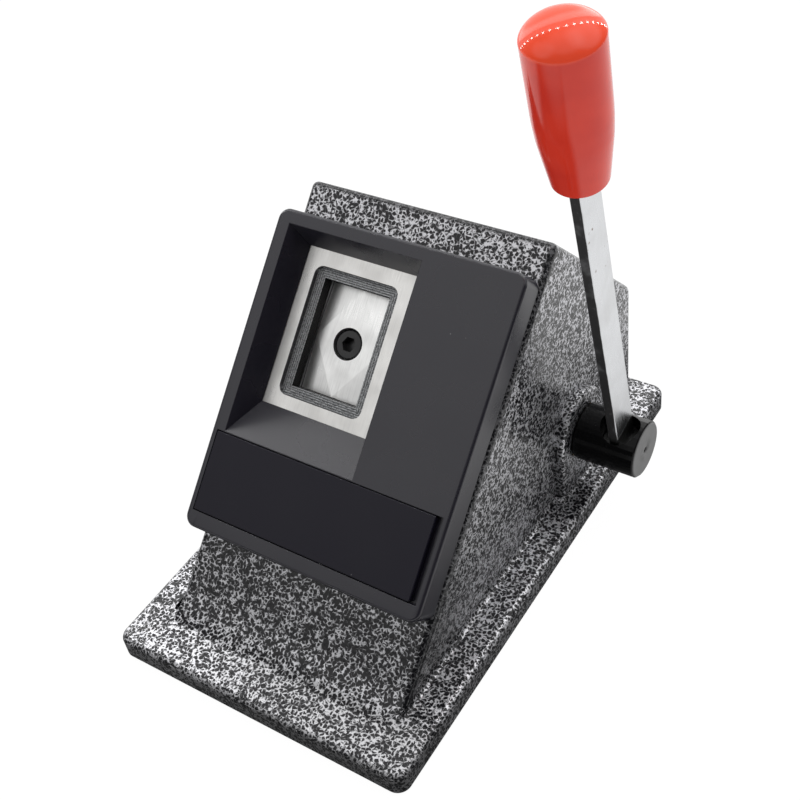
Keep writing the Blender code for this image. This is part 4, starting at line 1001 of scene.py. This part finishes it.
def at_shaft(x: float) -> Matrix:
    """A shift to the shaft's axis, at a place along X."""
    return Matrix.Translation((x, SHAFT_PLACE.y, SHAFT_PLACE.z))


def mesh_of(name: str, shape: Shape) -> bpy.types.Mesh:
    """Keep a shape as a mesh.

    Args:
        name: The mesh's name.
        shape: The shape, which is freed.

    Returns:
        The mesh.
    """
    mesh = bpy.data.meshes.new(name)
    shape.to_mesh(mesh)
    shape.free()
    return mesh


def joined(shapes: Sequence[Shape]) -> Shape:
    """Several shells in one mesh.

    Args:
        shapes: The shells, which are freed.

    Returns:
        The mesh of all.
    """
    whole = bmesh.new()
    for shape in shapes:
        part = mesh_of("part", shape)
        whole.from_mesh(part)
        bpy.data.meshes.remove(part)
    return whole


def placed(name: str, data: bpy.types.ID) -> bpy.types.Object:
    """Put a new object into the scene.

    Args:
        name: Its name.
        data: Its mesh, lamp or camera.

    Returns:
        The object.
    """
    made = bpy.data.objects.new(name, data)
    bpy.context.scene.collection.objects.link(made)
    return made


def finished(name: str, shape: Shape, finish: Material, body: Body | None, nodes: Sequence[str],
             sharp: float = 32.0) -> bpy.types.Object:
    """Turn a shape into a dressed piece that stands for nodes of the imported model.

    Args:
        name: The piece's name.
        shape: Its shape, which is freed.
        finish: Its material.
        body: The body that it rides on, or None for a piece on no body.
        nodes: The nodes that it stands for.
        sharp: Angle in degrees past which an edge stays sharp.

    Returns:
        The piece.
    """
    mesh = mesh_of(name, shape)
    mesh.materials.append(finish)
    mesh.shade_smooth()
    for face in mesh.polygons:
        face.use_smooth = face.area < FLAT_AREA
    mesh.set_sharp_from_angle(angle=math.radians(sharp))
    made = placed(name, mesh)
    weighted = made.modifiers.new("even_shading", "WEIGHTED_NORMAL")
    weighted.keep_sharp = True
    weighted.weight = 100
    if body is not None:
        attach(made, body.value)
    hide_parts(*nodes)
    LOG.info("%s: %d faces on %s", name, len(mesh.polygons), body.value if body else "two bodies")
    return made


@dataclass
class Casting:
    """The hammertone casting: a base flange, the wedge above it and the raised arch round the shaft."""

    base_width: float = 0.1464
    base_depth: float = 0.243
    flange_top: float = 0.0123
    corner: float = 0.006
    flange_edge: float = 0.0025
    foot_edge: float = 0.0005
    recess_rim: float = 0.008
    recess_depth: float = 0.0035
    half_width: float = BODY_HALF_WIDTH
    wall: float = 0.006
    body_edge: float = 0.0028
    face_length: float = FACE_LENGTH
    back_y: float = 0.1123
    foot_radius: float = 0.026
    foot_sink: float = 0.0003
    toe_run: float = 0.004
    side_fillet: float = 0.0024
    skirt_sink: float = 0.00005
    skirt_drop: float = 0.00004
    skirt_toe: float = -0.0975
    skirt_root: float = 0.001
    skirt_steps: int = 6
    arch_radius: float = 0.0199
    arch_height: float = 0.0046
    arch_edge: float = 0.0019
    arch_sink: float = 0.0005
    arch_foot: float = 0.002
    bore: float = 0.0124
    bore_relief: float = 0.0008
    pocket: Bounds = (-0.0555, 0.0111, 0.1013, 0.1939)
    pocket_floor: float = -0.0076
    tool_opening: Bounds = (-0.0465, 0.0021, 0.1153, 0.1799)
    tool_depth: float = 0.012
    slot_ends: Span = (0.1206, 0.1746)
    slot_roof: float = -0.0073
    slot_floor: float = -0.0086
    slot_flare: float = 0.0012

    def flange(self) -> Shape:
        """The base slab with round corners, a soft upper edge and the recess beneath.

        Returns:
            The slab.
        """
        x, y = self.base_width / 2, self.base_depth / 2
        shape = block((-x, -y, PAD_STAND), (x, y, self.flange_top))
        floor = faces_where(shape, lambda middle, normal: normal.z < DOWNWARD)
        bmesh.ops.inset_region(shape, faces=floor, thickness=self.recess_rim, use_even_offset=True)
        shape.normal_update()
        push(shape, floor, Vector((0, 0, self.recess_depth)))
        limit = x - self.recess_rim / 2
        inner = edges_where(shape, lambda a, b: abs(a.z - b.z) > self.recess_depth / 2 and abs(a.x) <= limit)
        round_off(shape, inner, self.corner / 2, steps=5)
        outer = edges_where(shape, lambda a, b: abs(a.z - b.z) > self.recess_depth * 1.5 and abs(a.x) > limit)
        round_off(shape, outer, self.corner, steps=10)
        rim = edges_where(shape, lambda a, b: min(a.z, b.z) > self.flange_top - TOUCH)
        round_off(shape, rim, self.flange_edge, steps=6)
        foot = edges_where(shape, lambda a, b: max(a.z, b.z) < PAD_STAND + TOUCH
                           and max(abs(a.x) - x, abs(a.y) - y) > -self.corner * 0.35)
        round_off(shape, foot, self.foot_edge, steps=2)
        return shape

    def wedge(self) -> Shape:
        """The wedge, with the long concave foot in front and openings for die, slot and shaft.

        Returns:
            The wedge.
        """
        top, low = self.flange_top - self.foot_sink, PAD_STAND + self.recess_depth
        meet_y = FACE_FOOT_Y + (top - PAD_STAND) / math.tan(FACE_ANGLE)
        tangent = self.foot_radius * math.tan(FACE_ANGLE / 2)
        toe_y = meet_y - tangent - self.toe_run
        ridge = FACE_FRAME @ Vector((0, self.face_length, 0))
        shoulder_z = ridge.z - (self.back_y - ridge.y) / math.tan(FACE_ANGLE)
        side = ((self.back_y, low), (self.back_y, shoulder_z), (ridge.y, ridge.z), (meet_y, top), (toe_y, top),
                (toe_y, low))
        shape = bmesh.new()
        first = shape.faces.new([shape.verts.new((-self.half_width, y, z)) for y, z in side])
        far = corners_of(bmesh.ops.extrude_face_region(shape, geom=[first])["geom"])
        bmesh.ops.translate(shape, vec=(2 * self.half_width, 0, 0), verts=far)
        face_out(shape)
        crease = edges_where(shape, lambda a, b: max(abs(a.y - meet_y), abs(b.y - meet_y)) < TOUCH
                             and abs(a.z - b.z) < TOUCH and abs(a.x - b.x) > RUN)
        round_off(shape, crease, tangent, steps=14)
        half, axis_z = self.half_width, SHAFT_PLACE.z
        across = edges_where(shape, lambda a, b: abs(a.x - b.x) > half and min(a.z, b.z) > axis_z)
        sides = edges_where(shape, lambda a, b: abs(a.x - b.x) <= half and max(a.z, b.z) > low + TOUCH)
        round_off(shape, across + sides, self.body_edge, steps=6)
        self._open_pocket(shape)
        self._open_slot(shape)
        self._open_shaft(shape)
        floor = faces_where(shape, lambda middle, normal: normal.z < DOWNWARD and middle.z < low + TOUCH)
        bmesh.ops.delete(shape, geom=floor, context="FACES_ONLY")
        return shape

    def _open_pocket(self, shape: Shape) -> None:
        """Sink the die's pocket and the tool's opening into the sloping face.

        Args:
            shape: The wedge.
        """
        inward = -Vector(FACE_FRAME.col[2][:3])
        floor = FACE_FRAME @ Matrix.Translation((0, 0, self.pocket_floor))
        push(shape, window(shape, FACE_FRAME, self.pocket), inward * -self.pocket_floor)
        shape.normal_update()
        push(shape, window(shape, floor, self.tool_opening, self.pocket), inward * self.tool_depth)
        shape.normal_update()
        bottom = faces_where(shape, lying(floor @ Matrix.Translation((0, 0, -self.tool_depth))))
        bmesh.ops.delete(shape, geom=bottom, context="FACES_ONLY")

    def _open_slot(self, shape: Shape) -> None:
        """Cut the photo slot, with its chamfered mouth, into the left side.

        Args:
            shape: The wedge.
        """
        flare = self.slot_flare
        low, high = self.slot_ends[0] - flare, self.slot_ends[1] + flare
        floor, roof = self.slot_floor - flare, self.slot_roof + flare
        side = FACE_FRAME @ Matrix.Translation((-self.half_width, 0, 0)) @ WALL
        mouth = window(shape, side, (low, high, floor, roof))
        back = FACE_FRAME.inverted()
        for corner in push(shape, mouth, Vector((flare, 0, 0))):
            own = back @ corner.co
            own.y += flare if own.y < (low + high) / 2 else -flare
            own.z += flare if own.z < (floor + roof) / 2 else -flare
            corner.co = FACE_FRAME @ own
        shape.normal_update()
        inner = faces_where(shape, lying(side @ Matrix.Translation((0, 0, flare)), (low, high, floor, roof)))
        push(shape, inner, Vector((self.wall - flare, 0, 0)))

    def _open_shaft(self, shape: Shape) -> None:
        """Open the right wall behind the arch, where the shaft goes through.

        Args:
            shape: The wedge.
        """
        reach = self.bore + self.bore_relief
        hole = window(shape, at_shaft(self.half_width) @ WALL, (-reach, reach, -reach, reach))
        bmesh.ops.delete(shape, geom=hole, context="FACES_ONLY")

    def arch(self) -> Shape:
        """The raised arch on the right wall, open in the middle for the shaft.

        Returns:
            The arch.
        """
        start, front = self.half_width - self.arch_sink, self.half_width + self.arch_height
        foot = self.flange_top - self.arch_foot
        shape = bmesh.new()
        bmesh.ops.create_circle(shape, cap_ends=True, radius=self.arch_radius, segments=96)
        shape.transform(at_shaft(start) @ RING_TURN)
        bmesh.ops.bisect_plane(shape, geom=shape.verts[:] + shape.edges[:] + shape.faces[:], dist=WELD,
                               plane_co=SHAFT_PLACE, plane_no=(0, 0, -1), clear_outer=True)
        sill = edges_where(shape, lambda a, b: max(a.z, b.z) < SHAFT_PLACE.z + TOUCH
                           and abs(a.y - b.y) > self.arch_radius)
        feet = corners_of(bmesh.ops.extrude_edge_only(shape, edges=sill)["geom"])
        bmesh.ops.translate(shape, vec=(0, 0, foot - SHAFT_PLACE.z), verts=feet)
        bmesh.ops.dissolve_faces(shape, faces=shape.faces[:])
        face_out(shape)
        far = corners_of(bmesh.ops.extrude_face_region(shape, geom=shape.faces[:])["geom"])
        bmesh.ops.translate(shape, vec=(front - start, 0, 0), verts=far)
        face_out(shape)
        rim = edges_where(shape, lambda a, b: min(a.x, b.x) > front - TOUCH and max(a.z, b.z) > foot + TOUCH)
        round_off(shape, rim, self.arch_edge, steps=6)
        caps = faces_where(shape, lambda middle, normal: abs(normal.x) > SQUARE)
        bmesh.ops.delete(shape, geom=caps, context="FACES_ONLY")
        rim = edges_where(shape, lambda a, b: min(a.x, b.x) > front - TOUCH)
        rim = [edge for edge in rim if edge.is_boundary]
        hole = bmesh.ops.create_circle(shape, cap_ends=False, radius=self.bore, segments=64)["verts"]
        bmesh.ops.transform(shape, matrix=at_shaft(front) @ RING_TURN, verts=hole)
        lip = list(dict.fromkeys(edge for vert in hole for edge in vert.link_edges))
        bmesh.ops.triangle_fill(shape, edges=rim + lip, use_beauty=True, use_dissolve=False, normal=(1, 0, 0))
        sweep(shape, lip, [Matrix.Translation((-self.arch_height, 0, 0))])
        face_out(shape)
        return shape

    def skirt(self, start: Point, outward: Point, turns: Sequence[Point], runs: Sequence[Point]) -> Shape:
        """A cast fillet along the foot of a wall and round its corners.

        Args:
            start: Where wall and flange meet at its near end.
            outward: Level direction away from the wall there.
            turns: The centre of each corner.
            runs: The straight run before, between and after the corners.

        Returns:
            The fillet.
        """
        away, radius = Vector(outward), self.side_fillet
        middle = Vector(start) + away * radius + Vector((0, 0, radius))
        shape = bmesh.new()
        first = shape.verts.new(middle - away * (radius + self.skirt_sink))
        bmesh.ops.spin(shape, geom=[first], cent=middle, axis=away.cross(Vector((0, 0, 1))), angle=math.pi / 2,
                       steps=8, use_merge=False)
        moves = [Matrix.Translation(runs[0])]
        for centre, run in zip(turns, runs[1:]):
            turn = about(centre, -math.pi / 2 / self.skirt_steps)
            moves += [turn] * self.skirt_steps + [Matrix.Translation(run)]
        sweep(shape, shape.edges[:], moves)
        face_out(shape)
        shape.normal_update()
        if sum(face.normal.z * face.calc_area() for face in shape.faces) < 0:
            bmesh.ops.reverse_faces(shape, faces=shape.faces[:])
        return shape

    def foot_fillets(self) -> list[Shape]:
        """The fillets where the wedge and the arch stand on the flange.

        Returns:
            The fillets.
        """
        top, x, edge = self.flange_top - self.skirt_drop, self.half_width, self.body_edge
        toe, back = self.skirt_toe, self.back_y - edge
        round_body = self.skirt((-x, toe, top), (-1, 0, 0), [(edge - x, back, 0), (x - edge, back, 0)],
                                [(0, back - toe, 0), (2 * (x - edge), 0, 0), (0, toe - back, 0)])
        inner, outer = x - self.skirt_root, x + self.arch_height - self.arch_edge
        far, reach = SHAFT_PLACE.y + self.arch_radius, self.arch_radius - self.arch_edge
        turns = [(outer, SHAFT_PLACE.y + reach, 0), (outer, SHAFT_PLACE.y - reach, 0)]
        round_arch = self.skirt((inner, far, top), (0, 1, 0), turns,
                                [(outer - inner, 0, 0), (0, -2 * reach, 0), (inner - outer, 0, 0)])
        return [round_body, round_arch]

    def build(self, finish: Material) -> None:
        """Build and dress the casting."""
        shape = joined([self.flange(), self.wedge(), self.arch(), *self.foot_fillets()])
        finished("casting", shape, finish, Body.HOUSING, ["housing"])


@dataclass
class FrontCover:
    """The moulded cover with its slanted window, and the bare label bar in its channel."""

    left: float = -0.0607
    right: float = 0.0576
    low: float = 0.0536
    high: float = 0.1948
    height: float = 0.013
    seat: float = 0.0003
    corner: float = 0.005
    edge: float = 0.0014
    rim_angle: float = math.radians(25)
    well: Bounds = (-0.0541, 0.0116, 0.0970, 0.1888)
    well_floor: Bounds = (-0.0490, 0.0065, 0.1133, 0.1830)
    lip: float = 0.0003
    channel: Bounds = (-0.0579, 0.0546, 0.0608, 0.0966)
    channel_floor: float = 0.0100
    bar: Bounds = (-0.0575, 0.0516, 0.0612, 0.0962)
    bar_floor: float = 0.0103
    bar_top: float = 0.0133
    bar_corner: float = 0.0007
    bar_edge: float = 0.0004

    def shell(self) -> Shape:
        """The cover, in the frame of the face.

        Returns:
            The cover.
        """
        shape = slab((self.left, self.low, self.seat), (self.right, self.high, self.height), self.corner,
                     self.edge, (10, 6))
        front, foot = Matrix.Translation((0, 0, self.height)), Matrix.Translation((0, 0, self.seat))
        window(shape, front, self.well)
        window(shape, front, self.channel)
        floor = faces_where(shape, lambda middle, normal: normal.z < DOWNWARD)
        bmesh.ops.delete(shape, geom=floor, context="FACES_ONLY")
        well = faces_where(shape, lying(front, self.well))
        for corner in push(shape, well, Vector((0, 0, self.seat - self.height))):
            for axis in (0, 1):
                low, high = self.well[2 * axis:2 * axis + 2]
                new_low, new_high = self.well_floor[2 * axis:2 * axis + 2]
                corner.co[axis] = new_low + (corner.co[axis] - low) * (new_high - new_low) / (high - low)
        shape.normal_update()
        bmesh.ops.delete(shape, geom=faces_where(shape, lying(foot, self.well)), context="FACES")
        channel = faces_where(shape, lying(front, self.channel))
        push(shape, channel, Vector((0, 0, self.channel_floor - self.height)))
        shape.normal_update()
        upper = edges_where(shape, lambda a, b: min(a.z, b.z) > self.height - TOUCH)
        rims = [edge for edge in upper if edge.calc_face_angle(0.0) > self.rim_angle]
        round_off(shape, rims, self.lip, steps=3)
        return shape

    def label_bar(self) -> Shape:
        """The bare bar that fills the channel, in the frame of the face.

        Returns:
            The bar.
        """
        x_low, x_high, y_low, y_high = self.bar
        return slab((x_low, y_low, self.bar_floor), (x_high, y_high, self.bar_top), self.bar_corner,
                    self.bar_edge, (4, 3))

    def build(self, finishes: Finishes) -> None:
        """Build and dress the cover and the bar.

        Args:
            finishes: The cutter's finishes.
        """
        pieces = (("moulded_cover", self.shell(), finishes.cover, "front_cover"),
                  ("bare_label_bar", self.label_bar(), finishes.bar, "label_bar"))
        for name, shape, finish, node in pieces:
            shape.transform(FACE_FRAME)
            finished(name, shape, finish, Body.HOUSING, [node])


@dataclass
class LeverSet:
    """Hub, bar and grip on the shaft."""

    grip_x: float = 0.08265
    grip_bottom: float = 0.1573
    grip_bottom_radius: float = 0.0106
    grip_taper_top: float = 0.177
    grip_taper_radius: float = 0.01315
    grip_belly: float = 0.186
    grip_belly_radius: float = 0.01375
    grip_rim: float = 0.217
    grip_rim_radius: float = 0.0139
    grip_crown: float = 0.0064
    grip_crown_full: float = 2.2
    grip_crown_flat: float = 0.7
    grip_crown_steps: int = 30
    grip_foot_edge: float = 0.0013
    grip_foot_steps: int = 8
    grip_dish: float = 0.0002
    grip_knot_reach: float = 0.28
    grip_knot_steps: int = 7
    grip_cant: float = math.radians(1.3)

    def grip_outline(self) -> list[Span]:
        """Half outline of the grip, from the mouth of its socket to the crown.

        Returns:
            Points of radius and height.
        """
        low, edge = self.grip_bottom, self.grip_foot_edge
        points = [(0.0, low + self.grip_dish), (self.grip_bottom_radius - edge, low)]
        for step in range(1, self.grip_foot_steps + 1):
            angle = math.pi / 2 * step / self.grip_foot_steps
            points.append((self.grip_bottom_radius - edge * (1 - math.sin(angle)),
                           low + edge * (1 - math.cos(angle))))
        knots = [Vector(knot) for knot in (
            (self.grip_bottom_radius, low + edge), (self.grip_taper_radius, self.grip_taper_top),
            (self.grip_belly_radius, self.grip_belly), (self.grip_rim_radius, self.grip_rim))]
        for before, knot, after in zip(knots, knots[1:], knots[2:]):
            begin, end = knot.lerp(before, self.grip_knot_reach), knot.lerp(after, self.grip_knot_reach)
            for step in range(1, self.grip_knot_steps):
                share = step / self.grip_knot_steps
                points.append(tuple(begin.lerp(knot, share).lerp(knot.lerp(end, share), share)))
        points.append(tuple(knots[-1]))
        for step in range(1, self.grip_crown_steps + 1):
            last = step == self.grip_crown_steps
            share = 0.0 if last else math.cos(math.pi / 2 * step / self.grip_crown_steps)
            rise = (1 - share ** self.grip_crown_full) ** self.grip_crown_flat
            points.append((self.grip_rim_radius * share, self.grip_rim + self.grip_crown * rise))
        return points

    def grip(self) -> Shape:
        """The turned grip.

        Returns:
            The grip.
        """
        cant = about((0, 0, self.grip_rim), self.grip_cant, "Y")
        frame = LEVER_FRAME @ Matrix.Translation((self.grip_x, 0, 0)) @ cant
        return lathe(self.grip_outline(), 96, frame)

    def build(self, frame: dict, finishes: Finishes) -> None:
        """Build the grip and dress the hub and the bar.

        Args:
            frame: The loaded frame.
            finishes: The cutter's finishes.
        """
        finished("turned_grip", self.grip(), finishes.red, Body.LEVER, ["grip"], sharp=50.0)
        repaint(frame, finishes.lever, ["lever"])
        repaint(frame, finishes.hub, ["hub"])


def repaint(frame: dict, finish: Material, nodes: Iterable[str]) -> None:
    """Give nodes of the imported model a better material.

    Args:
        frame: The loaded frame.
        finish: The material.
        nodes: Their names.
    """
    for name in nodes:
        node = frame["nodes"][name]
        node.data.materials.clear()
        node.data.materials.append(finish)
        LOG.info("%s: dressed in %s", name, finish.name)


@dataclass(frozen=True)
class Works:
    """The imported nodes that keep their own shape, by finish."""

    machined: tuple[str, ...] = ("guide_block", "ram", "side_plate", "drive_shaft", "shaft_collar", "hub_key")
    bronze: tuple[str, ...] = ("inner_bush", "outer_bush")
    die: tuple[str, ...] = ("die_plate",)
    punch: tuple[str, ...] = ("punch",)
    zinc: tuple[str, ...] = ("bottom_cover",)
    rubber: tuple[str, ...] = ("base_pad",)

    def dress(self, frame: dict, finishes: Finishes) -> None:
        """Dress every node by its finish, and all screws and the stop pin in black oxide.

        Args:
            frame: The loaded frame.
            finishes: The cutter's finishes.
        """
        fasteners = [name for name in frame["nodes"] if "screw" in name or name == "stop_pin"]
        for finish, nodes in ((finishes.machined, self.machined), (finishes.bronze, self.bronze),
                              (finishes.die, self.die), (finishes.punch, self.punch),
                              (finishes.zinc, self.zinc), (finishes.rubber, self.rubber),
                              (finishes.screw, fasteners)):
            repaint(frame, finish, nodes)


@dataclass
class ReturnSpring:
    """The torsion spring: one leg stands on the stop pin, the other turns with the collar."""

    start_x: float = 0.023
    radius: float = 0.0152
    wire: float = 0.001
    pitch: float = 0.0023
    turns: int = 6
    turn_steps: int = 30
    begin: float = 3.0084
    leg: float = 0.01964
    bend: float = 0.0022
    bend_steps: int = 8
    end_x: float = 0.04255

    def winding(self) -> Shape:
        """The wire, from the tip of its standing leg to the end in the collar.

        Returns:
            The wire.
        """
        out = Vector((0, math.cos(self.begin), math.sin(self.begin)))
        ahead = Vector((0, -math.sin(self.begin), math.cos(self.begin)))
        place = SHAFT_PLACE + out * self.radius + Vector((self.start_x, 0, 0))
        shape = bmesh.new()
        bmesh.ops.create_circle(shape, cap_ends=False, radius=self.wire, segments=12)
        along = ahead.to_track_quat("Z", "Y").to_matrix().to_4x4()
        shape.transform(Matrix.Translation(place - ahead * self.leg) @ along)
        coil = (Matrix.Translation((self.pitch / self.turn_steps, 0, 0))
                @ about(SHAFT_PLACE, 2 * math.pi / self.turn_steps, "X"))
        middle = place + Vector((self.pitch * self.turns + self.bend, 0, 0))
        part_turn = Matrix.Rotation(math.pi / 2 / self.bend_steps, 4, ahead.cross(Vector((1, 0, 0))))
        elbow = Matrix.Translation(middle) @ part_turn @ Matrix.Translation(-middle)
        moves = [Matrix.Translation(ahead * self.leg)] + [coil] * (self.turns * self.turn_steps)
        moves += [elbow] * self.bend_steps + [Matrix.Translation((self.end_x - middle.x, 0, 0))]
        sweep(shape, shape.edges[:], moves)
        bmesh.ops.holes_fill(shape, edges=[edge for edge in shape.edges if edge.is_boundary], sides=0)
        face_out(shape)
        return shape

    def build(self, finish: Material) -> None:
        """Build the spring, which rides on no body.

        Args:
            finish: Its material.
        """
        made = finished("wound_spring", self.winding(), finish, None, ["return_spring"],
                        sharp=50.0)
        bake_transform(made)


@dataclass
class Studio:
    """A white tent: pale floor, soft glowing walls and roof, a ring light and the camera."""

    camera_place: Point = (0.24915, -0.30091, 0.4373)
    yaw: float = 38.99
    pitch: float = -42.67
    roll: float = -9.48
    focal_pixels: float = 1251.6
    frame_pixels: float = 800.0
    sensor: float = 36.0
    ring_from: Point = (0.0813, 0.0154, 0.2401)
    ring_axis: Point = (-0.6186, 0.7357, 0.2758)
    ring_reach: float = 0.241
    ring_radius: float = 0.302
    lamp_count: int = 30
    lamp_radius: float = 0.0120
    lamp_glow: float = 24.0
    lamp_low: float = -0.25
    dusk: float = 0.08
    shade_x: float = 0.0732
    shade_y: float = 0.1215
    shade_reach: float = 0.062
    shade_front: float = 0.034
    shade_dark: float = 0.07
    floor_size: float = 4.0
    floor_glow: float = 0.97
    glows: tuple[tuple[Point, float, float, float], ...] = (
        (ring_axis, 35.4, 38.4, 1.70),
        (ring_axis, 17.0, 29.0, -1.70),
        (ring_axis, 48.0, 52.0, 0.95),
        (ring_axis, 39.5, 43.0, -0.25),
        (ring_axis, 50.0, 85.0, 0.25),
        ((-0.48, -0.58, 0.66), 9.0, 29.0, 0.90),
        ((0.10, -0.20, 0.97), 14.0, 40.0, 0.80),
        ((0.45, 0.35, 0.82), 15.0, 42.0, 1.30),
    )

    def floor(self) -> None:
        """The pale floor, whose light falls off in the shade close round the cutter."""
        shape = bmesh.new()
        bmesh.ops.create_grid(shape, x_segments=1, y_segments=1, size=self.floor_size)
        mesh = mesh_of("floor", shape)
        graph = Graph("pale_floor")
        x, y, z = graph.axes(graph.place)
        away = (x.size() - self.shade_x).highest(y.size() - self.shade_y)
        away = away - y.step(0.0, -0.10) * self.shade_front
        seen = Value(graph, graph.node("ShaderNodeLightPath").outputs["Is Camera Ray"])
        lit = (away.step(-0.002, self.shade_reach) * (1 - self.shade_dark) + self.shade_dark).highest(seen)
        mesh.materials.append(graph.dress({
            "Base Color": grey(0.06), "Roughness": 0.9, "Specular IOR Level": 0.0,
            "Emission Color": graph.blend(lit, grey(0.0), grey(1.0)), "Emission Strength": self.floor_glow}))
        placed("floor", mesh)

    def _place(self, lamp: bpy.types.Object, place: Point, target: Point) -> None:
        """Stand a lamp at a place, facing a target, out of the camera's sight.

        Args:
            lamp: The lamp.
            place: Where it stands.
            target: What it faces.
        """
        lamp.location = place
        lamp.rotation_euler = (Vector(target) - Vector(place)).to_track_quat("-Z", "Y").to_euler()
        lamp.visible_camera = False

    def ring(self) -> None:
        """The ring light behind the cutter, without its lowest lamps, which show as dots in gloss."""
        axis = Vector(self.ring_axis)
        centre = Vector(self.ring_from) + axis * self.ring_reach
        side = axis.cross(Vector((0, 0, 1))).normalized()
        up = side.cross(axis)
        for number in range(self.lamp_count):
            angle = 2 * math.pi * number / self.lamp_count
            if math.sin(angle) < self.lamp_low:
                continue
            place = centre + self.ring_radius * (math.cos(angle) * side + math.sin(angle) * up)
            lamp = bpy.data.lights.new(f"ring_lamp_{number:02d}", "AREA")
            lamp.shape = "DISK"
            lamp.size = 2 * self.lamp_radius
            lamp.energy = self.lamp_glow * math.pi * math.pi * self.lamp_radius ** 2
            self._place(placed(lamp.name, lamp), tuple(place), self.ring_from)

    def tent(self) -> None:
        """The tent all round: dusky, with soft glows for its lit walls and roof, and plain white in sight."""
        world = bpy.data.worlds.new("tent")
        world.use_nodes = True
        wiring = Wiring(world.node_tree)
        way = wiring.node("ShaderNodeTexCoord").outputs["Generated"]
        glow: Number = self.dusk
        for towards, inner, outer, strength in self.glows:
            near = wiring.node("ShaderNodeVectorMath", {"operation": "DOT_PRODUCT"},
                               {0: way, 1: tuple(Vector(towards).normalized())})
            share = Value(wiring, near.outputs["Value"])
            glow = glow + share.step(math.cos(math.radians(outer)), math.cos(math.radians(inner))) * strength
        seen = Value(wiring, wiring.node("ShaderNodeLightPath").outputs["Is Camera Ray"])
        backdrop = wiring.node("ShaderNodeBackground", {}, {
            "Color": grey(1.0), "Strength": glow * (1 - seen) + seen})
        wiring.node("ShaderNodeOutputWorld", {}, {"Surface": backdrop.outputs[0]})
        bpy.context.scene.world = world

    def camera(self) -> None:
        """The camera, at the photograph's place and angle."""
        yaw, pitch, roll = (math.radians(angle) for angle in (self.yaw, self.pitch, self.roll))
        ahead = Vector((-math.sin(yaw) * math.cos(pitch), math.cos(yaw) * math.cos(pitch), math.sin(pitch)))
        right = ahead.cross(Vector((0, 0, 1))).normalized()
        up = right.cross(ahead)
        turned_right = math.cos(roll) * right + math.sin(roll) * up
        turned_up = math.cos(roll) * up - math.sin(roll) * right
        lens = bpy.data.cameras.new("camera")
        lens.sensor_width = self.sensor
        lens.lens = self.focal_pixels / self.frame_pixels * self.sensor
        lens.clip_start = 0.01
        made = placed("camera", lens)
        made.matrix_world = (Matrix.Translation(self.camera_place)
                             @ Matrix((turned_right, turned_up, -ahead)).transposed().to_4x4())
        bpy.context.scene.camera = made

    def build(self) -> None:
        """Set up the whole studio."""
        self.floor()
        self.tent()
        self.ring()
        self.camera()
        bpy.context.scene.view_settings.view_transform = "Standard"
        LOG.info("studio: floor, tent, the ring light and the camera")


def main() -> None:
    """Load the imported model, build every piece and set up the studio."""
    logging.basicConfig(level=logging.INFO, format="%(message)s")
    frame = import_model()
    finishes = Finishes.mix()
    Works().dress(frame, finishes)
    Casting().build(finishes.enamel)
    FrontCover().build(finishes)
    LeverSet().build(frame, finishes)
    ReturnSpring().build(finishes.machined)
    Studio().build()


if __name__ == "__main__":
    main()
